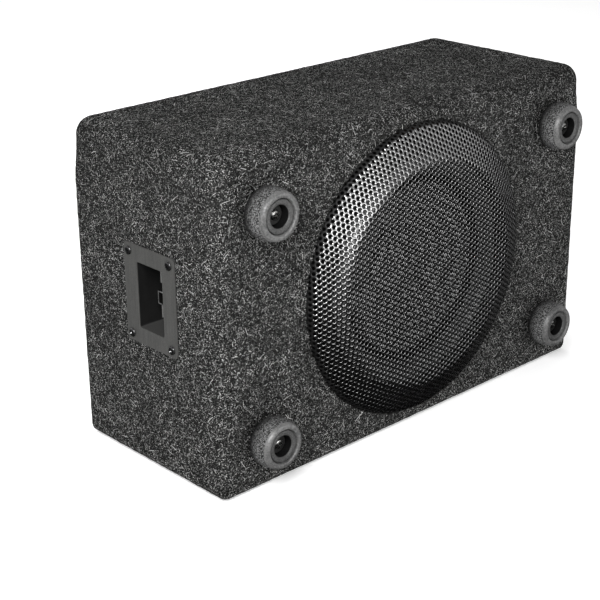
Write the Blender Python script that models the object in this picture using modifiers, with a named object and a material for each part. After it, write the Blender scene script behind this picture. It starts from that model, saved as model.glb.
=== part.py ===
"""A powered car subwoofer: a carpeted wooden box that stands on its long narrow side.

The large face with the loudspeaker, its steel grille and four rubber feet looks towards -Y. The left end
carries a sunken connector plate, and the right end carries the amplifier. The origin lies under the middle
of the box, on the surface that it stands on. All lengths are in metres.
"""

import math

import bmesh
import bpy
from mathutils import Matrix, Vector

# Box
WIDTH = 0.395
DEPTH = 0.165
HEIGHT = 0.255
BOARD = 0.015
CARPET = 0.0025
GAP = 0.0003
TOP_ROUND = 0.014
EDGE_ROUND = 0.007
FRONT = -DEPTH / 2
LEFT = -WIDTH / 2
RIGHT = WIDTH / 2
CORE = CARPET + GAP
BEYOND = 0.02

# Loudspeaker: 8 inch, in the middle of the front. Depths run backwards from the carpet's face.
DRIVER_X = 0.0
DRIVER_Z = HEIGHT / 2
GRILLE_RADIUS = 0.1155
GRILLE_WALL = 0.0064
GRILLE_SHOULDER = 0.0050
GRILLE_FLAT_RADIUS = 0.0885
GRILLE_HEIGHT = 0.0155
GRILLE_SHEET = 0.001
CARPET_HOLE = GRILLE_RADIUS + 0.0005
BAFFLE_HOLE = 0.089
FLANGE_RADIUS = 0.104
FLANGE_FRONT = 0.0006
FLANGE_BACK = CARPET
WOOFER_SCREW_RING = 0.0975
SURROUND_RADIUS = 0.082
SURROUND_HALF_WIDTH = 0.0052
SURROUND_HEIGHT = 0.0063
CONE_EDGE = 0.0765
CONE_EDGE_DEPTH = 0.00375
CONE_NECK = 0.0212
CONE_NECK_DEPTH = 0.030
SHEET = 0.0008
COIL_OUTSIDE = 0.0203
COIL_INSIDE = 0.0193

# Feet
FOOT_INSET = 0.041
FOOT_LOW = 0.0395
FOOT_HIGH = HEIGHT - 0.0430
FOOT_RADIUS = 0.019
FOOT_HEIGHT = 0.020
FOOT_HOLE = 0.008
FOOT_FLOOR = 0.0105

# Connector plate on the left end
WELL_Y = -0.008
WELL_Z = 0.137
WELL_FLANGE = (0.058, 0.076)
WELL_MOUTH = (0.029, 0.0505)
WELL_DEPTH = 0.024
WELL_WALL = 0.0018
WELL_PROUD = 0.0008
SOCKET_Y = WELL_Y
SOCKET_Z = WELL_Z - 0.003
SOCKET_SIZE = (0.014, 0.0105)
SOCKET_REACH = 0.012

# Amplifier on the right end
AMP_SIZE = (0.120, 0.170)
AMP_SHEET = 0.003
AMP_PROUD = 0.0005
AMP_OPENING = (0.104, 0.154)
AMP_Y = 0.0
AMP_Z = HEIGHT / 2
AMP_FACE = RIGHT + AMP_PROUD
AMP_BACK = AMP_FACE - AMP_SHEET
BOARD_FACE = RIGHT - 0.0204
BOARD_SHEET = 0.0016
KNOB_RADIUS = 0.0065
KNOB_REACH = 0.0063
SHAFT_RADIUS = 0.003
KNOB_Z = {"knob_level": AMP_Z + 0.045, "knob_crossover": AMP_Z + 0.020}
KNOB_Y = -0.020
SWITCH_Z = AMP_Z - 0.002
SWITCH_TRAVEL = 0.004
LED_Z = AMP_Z + 0.064
JACK_Z = AMP_Z - 0.045

# Turns that carry an object's own +Z to a side of the box
FACING = {
    "up": (0.0, 0.0, 0.0),
    "front": (math.pi / 2, 0.0, 0.0),
    "left": (0.0, -math.pi / 2, 0.0),
    "right": (0.0, math.pi / 2, 0.0),
}
ROUND = 24
FINE_ROUND = 40
DRIVER_ROUND = 28
SCREW_ROUND = 10


def clear_scene():
    for item in list(bpy.data.objects):
        bpy.data.objects.remove(item, do_unlink=True)


def new_collection(name):
    collection = bpy.data.collections.new(name)
    bpy.context.scene.collection.children.link(collection)
    return collection


def make_material(name, colour, roughness, metallic=0.0):
    material = bpy.data.materials.new(name)
    material.use_nodes = True
    shader = material.node_tree.nodes["Principled BSDF"]
    shader.inputs["Base Color"].default_value = (*colour, 1.0)
    shader.inputs["Roughness"].default_value = roughness
    shader.inputs["Metallic"].default_value = metallic
    material.diffuse_color = (*colour, 1.0)
    return material


def add_object(name, data, collection, material=None):
    item = bpy.data.objects.new(name, data)
    collection.objects.link(item)
    if material:
        data.materials.append(material)
    return item


def mesh_of(form, name):
    mesh = bpy.data.meshes.new(name)
    form.to_mesh(mesh)
    form.free()
    return mesh


def as_cutter(item):
    item.hide_render = True
    item.display_type = "WIRE"
    return item


def block_mesh(name, size, round_along=None, radius=0.0, segments=3):
    """A box about its own centre, with the four edges along one axis rounded."""
    form = bmesh.new()
    bmesh.ops.create_cube(form, size=1.0)
    bmesh.ops.scale(form, vec=size, verts=form.verts)
    if round_along is not None:
        edges = []
        for edge in form.edges:
            along = edge.verts[0].co - edge.verts[1].co
            if abs(along[round_along]) > 0.5 * size[round_along]:
                edges.append(edge)
        bmesh.ops.bevel(form, geom=edges, offset=radius, segments=segments, profile=0.5, affect="EDGES")
    return mesh_of(form, name)


def block(name, low, high, material=None, round_along=None, radius=0.0):
    size = Vector(high) - Vector(low)
    mesh = block_mesh(name, size, round_along, radius)
    collection = PARTS if material else CUTTERS
    item = add_object(name, mesh, collection, material)
    item.location = (Vector(low) + Vector(high)) / 2
    return item if material else as_cutter(item)


def softened_box(name, inset):
    """The box's outer form, drawn in by inset: rounder edges on top and tighter ones elsewhere."""
    low = Vector((LEFT + inset, FRONT + inset, inset))
    high = Vector((RIGHT - inset, -FRONT - inset, HEIGHT - inset))
    item = block(name, low, high)
    mesh = item.data
    weights = mesh.attributes.new("bevel_weight_edge", "FLOAT", "EDGE")
    top_round = TOP_ROUND - inset
    edge_round = EDGE_ROUND - inset
    for edge in mesh.edges:
        heights = [mesh.vertices[index].co.z for index in edge.vertices]
        is_top = min(heights) > 0
        weights.data[edge.index].value = 1.0 if is_top else edge_round / top_round
    bevel = item.modifiers.new("round edges", "BEVEL")
    bevel.width = top_round
    bevel.segments = 4
    bevel.limit_method = "WEIGHT"
    return item


def rods(name, radius, places, facing, low, high, sides=SCREW_ROUND):
    """One cutter of parallel cylinders. low and high run along the facing direction from each place."""
    form = bmesh.new()
    for place in places:
        made = bmesh.ops.create_cone(
            form, cap_ends=True, segments=sides, radius1=radius, radius2=radius, depth=high - low
        )
        bmesh.ops.translate(form, vec=(place[0], place[1], (low + high) / 2), verts=made["verts"])
    item = add_object(name, mesh_of(form, name), CUTTERS)
    item.rotation_euler = FACING[facing]
    return as_cutter(item)


def front_rods(name, radius, places, low, high, sides=SCREW_ROUND):
    """Cylinders square to the front at (x, z) places, from low to high behind the carpet's face."""
    item = rods(name, radius, places, "front", -high, -low, sides)
    item.location = (0.0, FRONT, 0.0)
    return item


def side_rods(name, radius, places, face, facing, low, high, sides=SCREW_ROUND):
    """Cylinders square to an end at (y, z) places, from low to high outwards from the plane x = face."""
    sign = -1.0 if facing == "right" else 1.0
    turned_places = [(sign * z, y) for y, z in places]
    item = rods(name, radius, turned_places, facing, low, high, sides)
    item.location = (face, 0.0, 0.0)
    return item


def cut(item, cutter, operation="DIFFERENCE"):
    change = item.modifiers.new(operation.lower(), "BOOLEAN")
    change.operation = operation
    change.solver = "EXACT"
    change.object = cutter
    return item


def turned(name, outline, material, place, facing="front", steps=ROUND, closed=True):
    """Spin an outline of (radius, height) points. Height runs along the facing direction."""
    outline = [Vector((radius, 0.0, height)) for radius, height in outline]
    area = 0.0
    for here, after in zip(outline, outline[1:] + outline[:1]):
        area += here.x * after.z - after.x * here.z
    if closed and area > 0:
        outline.reverse()
    form = bmesh.new()
    points = [form.verts.new(point) for point in outline]
    for here, after in zip(points, points[1:]):
        form.edges.new((here, after))
    on_axis = closed and outline[0].x == 0.0 and outline[-1].x == 0.0
    if closed and not on_axis:
        form.edges.new((points[-1], points[0]))
    item = add_object(name, mesh_of(form, name), PARTS, material)
    item.location = place
    item.rotation_euler = FACING[facing]
    spin = item.modifiers.new("spin", "SCREW")
    spin.axis = "Z"
    spin.angle = 2 * math.pi
    spin.steps = steps
    spin.render_steps = steps
    spin.use_merge_vertices = True
    spin.merge_threshold = 0.00001
    spin.use_smooth_shade = True
    return item


def sheet(name, outline, thickness, material, place, steps=ROUND):
    """A thin turned skin: outline is the middle of the sheet, from its outer edge inwards."""
    item = turned(name, outline, material, place, "front", steps, closed=False)
    shell = item.modifiers.new("thickness", "SOLIDIFY")
    shell.thickness = thickness
    shell.offset = 0.0
    shell.use_even_offset = True
    return item


def bake(item):
    """Turn an object's evaluated shape into its own mesh, which copies can then share."""
    graph = bpy.context.evaluated_depsgraph_get()
    mesh = bpy.data.meshes.new_from_object(item.evaluated_get(graph))
    item.modifiers.clear()
    item.data = mesh
    return mesh


def slot_cutters(name, place, facing, arm, width, low, high):
    """The two bars that sink a cross into a screw's head."""
    bars = []
    for index, size in enumerate(((2 * arm, width), (width, 2 * arm))):
        form = bmesh.new()
        bmesh.ops.create_cube(form, size=1.0)
        bmesh.ops.scale(form, vec=(size[0], size[1], high - low), verts=form.verts)
        bmesh.ops.translate(form, vec=(0.0, 0.0, (low + high) / 2), verts=form.verts)
        item = add_object(f"{name}_{index}", mesh_of(form, name), CUTTERS)
        item.location = place
        item.rotation_euler = FACING[facing]
        bars.append(as_cutter(item))
    return bars


def screws(name, places, facing, seat, head_radius, head_height, shaft_radius, length, material):
    """Pan-head cross screws that share one mesh. seat is the underside of the head."""
    outline = [
        (0.0, seat + head_height),
        (0.60 * head_radius, seat + 0.92 * head_height),
        (head_radius, seat + 0.35 * head_height),
        (head_radius, seat),
        (shaft_radius, seat),
        (shaft_radius, seat - length),
        (0.0, seat - length),
    ]
    shared = None
    for index, place in enumerate(places, start=1):
        item_name = f"{name}_{index}"
        if shared is None:
            item = turned(item_name, outline, material, place, facing, steps=SCREW_ROUND)
            bars = slot_cutters(
                f"{name}_slot",
                place,
                facing,
                0.6 * head_radius,
                0.22 * head_radius,
                seat + 0.35 * head_height,
                seat + 2 * head_height,
            )
            for bar in bars:
                cut(item, bar)
            shared = bake(item)
        else:
            item = add_object(item_name, shared, PARTS)
            item.location = place
            item.rotation_euler = FACING[facing]


def smooth_route(points, steps):
    """A Catmull-Rom curve through the route's own points."""
    points = [Vector(point) for point in points]
    ends = [2 * points[0] - points[1]] + points + [2 * points[-1] - points[-2]]
    route = []
    for index in range(1, len(ends) - 2):
        before, here, after, later = ends[index - 1 : index + 3]
        for step in range(steps):
            t = step / steps
            bend = 2 * before - 5 * here + 4 * after - later
            twist = 3 * here - before - 3 * after + later
            route.append(here + 0.5 * ((after - before) * t + bend * t * t + twist * t * t * t))
    route.append(points[-1])
    return route


def lead(name, points, radius, material):
    curve = bpy.data.curves.new(name, "CURVE")
    curve.dimensions = "3D"
    curve.bevel_depth = radius
    curve.bevel_resolution = 2
    curve.use_fill_caps = True
    route = smooth_route(points, 3)
    spline = curve.splines.new("POLY")
    spline.points.add(len(route) - 1)
    for point, place in zip(spline.points, route):
        point.co = (*place, 1.0)
    return add_object(name, curve, PARTS, material)


def corners(middle, size, inset):
    """The four screw places of a plate, drawn in from its corners."""
    half = (size[0] / 2 - inset, size[1] / 2 - inset)
    return [
        (middle[0] + across * half[0], middle[1] + up * half[1])
        for across in (-1, 1)
        for up in (-1, 1)
    ]


def foot_places():
    across = WIDTH / 2 - FOOT_INSET
    return [(x, z) for z in (FOOT_HIGH, FOOT_LOW) for x in (-across, across)]


def woofer_screw_places():
    reach = WOOFER_SCREW_RING * math.sqrt(0.5)
    return [(DRIVER_X + x * reach, DRIVER_Z + z * reach) for x in (-1, 1) for z in (-1, 1)]


def make_panels(material):
    """Six boards cut from one softened core. Front and back cover the edges of the others."""
    core = softened_box("core_form", CORE)
    inner_front = FRONT + CORE + BOARD
    inner_top = HEIGHT - CORE - BOARD
    inner_base = CORE + BOARD
    inner_side = WIDTH / 2 - CORE - BOARD
    out = BEYOND
    across = WIDTH / 2 + out
    back = -inner_front
    spans = {
        "baffle": ((-across, FRONT - out, -out), (across, inner_front, HEIGHT + out)),
        "panel_back": ((-across, back, -out), (across, -FRONT + out, HEIGHT + out)),
        "panel_top": ((-across, inner_front + GAP, inner_top), (across, back - GAP, HEIGHT + out)),
        "panel_bottom": ((-across, inner_front + GAP, -out), (across, back - GAP, inner_base)),
        "panel_left": (
            (-across, inner_front + GAP, inner_base + GAP),
            (-inner_side, back - GAP, inner_top - GAP),
        ),
        "panel_right": (
            (inner_side, inner_front + GAP, inner_base + GAP),
            (across, back - GAP, inner_top - GAP),
        ),
    }
    panels = {}
    for name, (low, high) in spans.items():
        panels[name] = cut(block(name, low, high, material), core, "INTERSECT")
    return panels


def make_carpet(material):
    """Three skins: a wrap over front, top and back, a base that it stands on, and two ends."""
    outer = softened_box("carpet_form", 0.0)
    inner = softened_box("carpet_lining", CARPET)
    out = BEYOND
    side = WIDTH / 2 - CARPET
    lip = side - GAP
    far = DEPTH / 2 + out
    spans = {
        "carpet_wrap": ((-lip, -far, CARPET + GAP), (lip, far, HEIGHT + out)),
        "carpet_base": ((-lip, -far, -out), (lip, far, CARPET)),
        "carpet_left": ((-side - out, -far, -out), (-side, far, HEIGHT + out)),
        "carpet_right": ((side, -far, -out), (side + out, far, HEIGHT + out)),
    }
    pieces = {}
    for name, (low, high) in spans.items():
        pieces[name] = cut(block(name, low, high, material), outer, "INTERSECT")
    cut(pieces["carpet_wrap"], inner)
    return pieces


def cut_front(panels, carpet):
    place = [(DRIVER_X, DRIVER_Z)]
    cut(carpet["carpet_wrap"], front_rods("carpet_hole", CARPET_HOLE, place, -0.01, 0.008, FINE_ROUND))
    cut(panels["baffle"], front_rods("baffle_hole", BAFFLE_HOLE, place, -0.01, 0.03, FINE_ROUND))
    cut(carpet["carpet_wrap"], front_rods("foot_bores", 0.0026, foot_places(), -0.01, 0.008))
    cut(panels["baffle"], front_rods("foot_pilots", 0.0024, foot_places(), -0.01, 0.03))
    cut(panels["baffle"], front_rods("woofer_pilots", 0.0022, woofer_screw_places(), -0.01, 0.03))


def cut_ends(panels, carpet):
    margin = 0.0004
    flange_y = WELL_FLANGE[0] / 2 + margin
    flange_z = WELL_FLANGE[1] / 2 + margin
    cut(
        carpet["carpet_left"],
        block(
            "plate_cut",
            (LEFT - BEYOND, WELL_Y - flange_y, WELL_Z - flange_z),
            (LEFT + BEYOND, WELL_Y + flange_y, WELL_Z + flange_z),
            round_along=0,
            radius=0.0044,
        ),
    )
    tub_y = WELL_MOUTH[0] / 2 + WELL_WALL + margin
    tub_z = WELL_MOUTH[1] / 2 + WELL_WALL + margin
    cut(
        panels["panel_left"],
        block(
            "tub_cut",
            (LEFT - BEYOND, WELL_Y - tub_y, WELL_Z - tub_z),
            (LEFT + 2 * BEYOND, WELL_Y + tub_y, WELL_Z + tub_z),
        ),
    )
    pilots = corners((WELL_Y, WELL_Z), WELL_FLANGE, 0.006)
    cut(panels["panel_left"], side_rods("well_pilots", 0.0016, pilots, LEFT, "left", -0.016, 0.01))
    amp_y = AMP_SIZE[0] / 2 + margin
    amp_z = AMP_SIZE[1] / 2 + margin
    cut(
        carpet["carpet_right"],
        block(
            "amp_cut",
            (RIGHT - BEYOND, AMP_Y - amp_y, AMP_Z - amp_z),
            (RIGHT + BEYOND, AMP_Y + amp_y, AMP_Z + amp_z),
            round_along=0,
            radius=0.0064,
        ),
    )
    opening_y = AMP_OPENING[0] / 2
    opening_z = AMP_OPENING[1] / 2
    cut(
        panels["panel_right"],
        block(
            "amp_opening",
            (RIGHT - 2 * BEYOND, AMP_Y - opening_y, AMP_Z - opening_z),
            (RIGHT + BEYOND, AMP_Y + opening_y, AMP_Z + opening_z),
        ),
    )
    pilots = corners((AMP_Y, AMP_Z), AMP_SIZE, 0.0045)
    cut(panels["panel_right"], side_rods("amp_pilots", 0.0016, pilots, RIGHT, "right", -0.016, 0.01))


def make_feet(rubber, steel):
    """Turned rubber feet with a sunken screw on a washer."""
    outline = [
        (0.0024, GAP),
        (FOOT_RADIUS, GAP),
        (FOOT_RADIUS - 0.0008, FOOT_HEIGHT - 0.0060),
        (FOOT_RADIUS - 0.0017, FOOT_HEIGHT - 0.0020),
        (FOOT_RADIUS - 0.0034, FOOT_HEIGHT),
        (0.0132, FOOT_HEIGHT),
        (0.0128, FOOT_HEIGHT - 0.0007),
        (FOOT_HOLE + 0.0008, FOOT_HEIGHT - 0.0011),
        (FOOT_HOLE, FOOT_HEIGHT - 0.0019),
        (FOOT_HOLE, FOOT_FLOOR),
        (0.0024, FOOT_FLOOR),
    ]
    washer_low = FOOT_FLOOR + GAP
    washer_high = washer_low + 0.0012
    washer = [(0.0025, washer_low), (0.0072, washer_low), (0.0072, washer_high), (0.0025, washer_high)]
    places = [(x, FRONT, z) for x, z in foot_places()]
    for kind, profile, material, steps in (("foot", outline, rubber, 20), ("foot_washer", washer, steel, 12)):
        first = turned(f"{kind}_1", profile, material, places[0], steps=steps)
        shared = bake(first)
        for index, place in enumerate(places[1:], start=2):
            item = add_object(f"{kind}_{index}", shared, PARTS)
            item.location = place
            item.rotation_euler = FACING["front"]
    screws("foot_screw", places, "front", washer_high + GAP, 0.0040, 0.0024, 0.0020, 0.025, steel)


def make_grille(material):
    """A pressed steel cover: a short wall that rounds over, a sloping ring and a flat middle."""
    middle = GRILLE_SHEET / 2
    outline = [
        (GRILLE_RADIUS - middle, -(CORE - 2 * GAP)),
        (GRILLE_RADIUS - middle, 0.28 * GRILLE_WALL),
        (GRILLE_RADIUS - 0.4 * GRILLE_SHOULDER, 0.72 * GRILLE_WALL),
        (GRILLE_RADIUS - GRILLE_SHOULDER, GRILLE_WALL),
        (GRILLE_FLAT_RADIUS + 0.001, GRILLE_HEIGHT - middle - 0.0005),
        (GRILLE_FLAT_RADIUS - 0.001, GRILLE_HEIGHT - middle),
        (0.0, GRILLE_HEIGHT - middle),
    ]
    sheet("grille", outline, GRILLE_SHEET, material, (DRIVER_X, FRONT, DRIVER_Z), FINE_ROUND)


def make_basket(steel, foam, rubber):
    centre = (DRIVER_X, FRONT, DRIVER_Z)
    wall = [
        (FLANGE_RADIUS, FLANGE_FRONT),
        (0.0865, FLANGE_FRONT),
        (0.0855, 0.0025),
        (0.0780, 0.0310),
        (0.0680, 0.0410),
        (0.0600, 0.0410),
        (0.0585, 0.0502),
        (0.0240, 0.0502),
        (0.0240, 0.0517),
        (0.0598, 0.0517),
        (0.0613, 0.0425),
        (0.0688, 0.0425),
        (0.0795, 0.0315),
        (0.0870, 0.0025),
        (FLANGE_RADIUS, FLANGE_BACK),
    ]
    basket = turned("basket", [(r, -depth) for r, depth in wall], steel, centre, steps=DRIVER_ROUND)
    form = bmesh.new()
    for index in range(6):
        angle = math.radians(60 * index)
        made = bmesh.ops.create_cube(form, size=1.0)
        bmesh.ops.scale(form, vec=(0.060, 0.056, 0.024), verts=made["verts"])
        bmesh.ops.translate(form, vec=(0.090, 0.0, -0.024), verts=made["verts"])
        turn = Matrix.Rotation(angle, 3, "Z")
        bmesh.ops.rotate(form, cent=(0.0, 0.0, 0.0), matrix=turn, verts=made["verts"])
    windows = add_object("basket_windows", mesh_of(form, "basket_windows"), CUTTERS)
    windows.location = centre
    windows.rotation_euler = FACING["front"]
    cut(basket, as_cutter(windows))
    cut(basket, front_rods("flange_bores", 0.0024, woofer_screw_places(), -0.01, 0.01))
    ring = [(0.0915, -0.0003), (0.1035, -0.0003), (0.1035, 0.0022), (0.0915, 0.0022)]
    gasket = turned("woofer_gasket", ring, foam, centre, steps=DRIVER_ROUND)
    cut(gasket, front_rods("gasket_bores", 0.0048, woofer_screw_places(), -0.01, 0.01))
    heads = [(x, FRONT, z) for x, z in woofer_screw_places()]
    screws("woofer_screw", heads, "front", -FLANGE_FRONT + GAP, 0.0042, 0.0020, 0.0019, 0.014, steel)
    roll = [(0.0908, 0.0002)]
    for step in range(7):
        angle = math.pi * step / 6
        radius = SURROUND_RADIUS + SURROUND_HALF_WIDTH * math.cos(angle)
        roll.append((radius, 0.0002 + SURROUND_HEIGHT * math.sin(angle)))
    roll.append((0.0762, -0.0024))
    roll.append((0.0738, -0.0026))
    sheet("surround", roll, SHEET, rubber, centre, DRIVER_ROUND)


def make_cone(fibre, former):
    """What moves: the cone, its cap and the coil's former, with their origin on the travel's axis."""
    centre = (DRIVER_X, FRONT, DRIVER_Z)
    cone = [(CONE_EDGE, -CONE_EDGE_DEPTH), (0.0738, -CONE_EDGE_DEPTH)]
    for step in range(1, 5):
        share = step / 4
        radius = 0.0738 + (CONE_NECK - 0.0738) * share
        sag = 0.0015 * math.sin(math.pi * share)
        depth = CONE_EDGE_DEPTH + (CONE_NECK_DEPTH - CONE_EDGE_DEPTH) * share - sag
        cone.append((radius, -depth))
    sheet("cone", cone, SHEET, fibre, centre, DRIVER_ROUND)
    cap = []
    rim = 0.0270
    rise = 0.0075
    base = 0.0249
    for step in range(5):
        angle = math.pi / 2 * step / 4
        radius = 0.0 if step == 4 else rim * math.cos(angle)
        cap.append((radius, rise * math.sin(angle) - base))
    sheet("dust_cap", cap, SHEET, fibre, centre)
    tube = [(COIL_OUTSIDE, -0.0290), (COIL_OUTSIDE, -0.0620), (COIL_INSIDE, -0.0620), (COIL_INSIDE, -0.0290)]
    turned("voice_coil", tube, former, centre)


def make_motor(steel, ferrite, cloth):
    centre = (DRIVER_X, FRONT, DRIVER_Z)
    waves = []
    for step in range(9):
        share = step / 8
        radius = 0.0660 + (0.0210 - 0.0660) * share
        ripple = 0.0012 * math.sin(4 * math.pi * share)
        waves.append((radius, -(0.0400 - ripple)))
    sheet("spider", waves, 0.0006, cloth, centre)
    plate = [(0.022, -0.052), (0.050, -0.052), (0.050, -0.058), (0.022, -0.058)]
    turned("top_plate", plate, steel, centre)
    ring = [(0.030, -0.0583), (0.055, -0.0583), (0.055, -0.0763), (0.030, -0.0763)]
    turned("magnet", ring, ferrite, centre)
    yoke = [
        (0.006, -0.0520),
        (0.0186, -0.0520),
        (0.0186, -0.0766),
        (0.0520, -0.0766),
        (0.0520, -0.0826),
        (0.006, -0.0826),
    ]
    turned("pole_yoke", yoke, steel, centre)


def make_connector(plastic, black, steel, brass):
    """The sunken plate: a flange, a tub behind it and a socket on the tub's floor."""
    face = LEFT - WELL_PROUD
    half_y = WELL_FLANGE[0] / 2
    half_z = WELL_FLANGE[1] / 2
    well = block(
        "connector_well",
        (face, WELL_Y - half_y, WELL_Z - half_z),
        (LEFT + CARPET - GAP, WELL_Y + half_y, WELL_Z + half_z),
        plastic,
        round_along=0,
        radius=0.004,
    )
    mouth_y = WELL_MOUTH[0] / 2
    mouth_z = WELL_MOUTH[1] / 2
    floor = face + WELL_DEPTH
    tub = block(
        "tub_form",
        (face + 0.001, WELL_Y - mouth_y - WELL_WALL, WELL_Z - mouth_z - WELL_WALL),
        (floor + WELL_WALL, WELL_Y + mouth_y + WELL_WALL, WELL_Z + mouth_z + WELL_WALL),
    )
    hollow = block(
        "tub_hollow",
        (face - BEYOND, WELL_Y - mouth_y, WELL_Z - mouth_z),
        (floor, WELL_Y + mouth_y, WELL_Z + mouth_z),
        round_along=0,
        radius=0.0015,
    )
    neck_y = 0.005
    neck_z = 0.0035
    slot = block(
        "neck_slot",
        (floor - 0.001, SOCKET_Y - neck_y - GAP, SOCKET_Z - neck_z - GAP),
        (floor + BEYOND, SOCKET_Y + neck_y + GAP, SOCKET_Z + neck_z + GAP),
    )
    cut(well, tub, "UNION")
    cut(well, hollow)
    cut(well, slot)
    places = corners((WELL_Y, WELL_Z), WELL_FLANGE, 0.006)
    cut(well, side_rods("flange_holes", 0.0018, places, LEFT, "left", -0.01, 0.01))
    heads = [(face, y, z) for y, z in places]
    screws("well_screw", heads, "left", GAP, 0.0033, 0.0016, 0.0013, 0.013, steel)

    half_y = SOCKET_SIZE[0] / 2
    half_z = SOCKET_SIZE[1] / 2
    socket = block(
        "harness_socket",
        (floor - SOCKET_REACH, SOCKET_Y - half_y, SOCKET_Z - half_z),
        (floor - GAP, SOCKET_Y + half_y, SOCKET_Z + half_z),
        black,
    )
    neck = block(
        "neck_form",
        (floor - 0.001, SOCKET_Y - neck_y, SOCKET_Z - neck_z),
        (floor + WELL_WALL + 0.003, SOCKET_Y + neck_y, SOCKET_Z + neck_z),
    )
    wall = 0.0012
    cavity = block(
        "socket_hollow",
        (floor - SOCKET_REACH - BEYOND, SOCKET_Y - half_y + wall, SOCKET_Z - half_z + wall),
        (floor - 0.0015, SOCKET_Y + half_y - wall, SOCKET_Z + half_z - wall),
    )
    cut(socket, neck, "UNION")
    cut(socket, cavity)
    pin_back = floor - 0.0015 - GAP
    header = block(
        "harness_pins",
        (pin_back - 0.001, SOCKET_Y - half_y + wall + GAP, SOCKET_Z - half_z + wall + GAP),
        (pin_back, SOCKET_Y + half_y - wall - GAP, SOCKET_Z + half_z - wall - GAP),
        brass,
    )
    form = bmesh.new()
    for row in (-0.0018, 0.0018):
        for column in range(4):
            made = bmesh.ops.create_cube(form, size=1.0)
            bmesh.ops.scale(form, vec=(0.005, 0.001, 0.001), verts=made["verts"])
            place = (pin_back - 0.003, SOCKET_Y + 0.0026 * (column - 1.5), SOCKET_Z + row)
            bmesh.ops.translate(form, vec=place, verts=made["verts"])
    pins = as_cutter(add_object("pin_forms", mesh_of(form, "pin_forms"), CUTTERS))
    cut(header, pins, "UNION")


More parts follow.
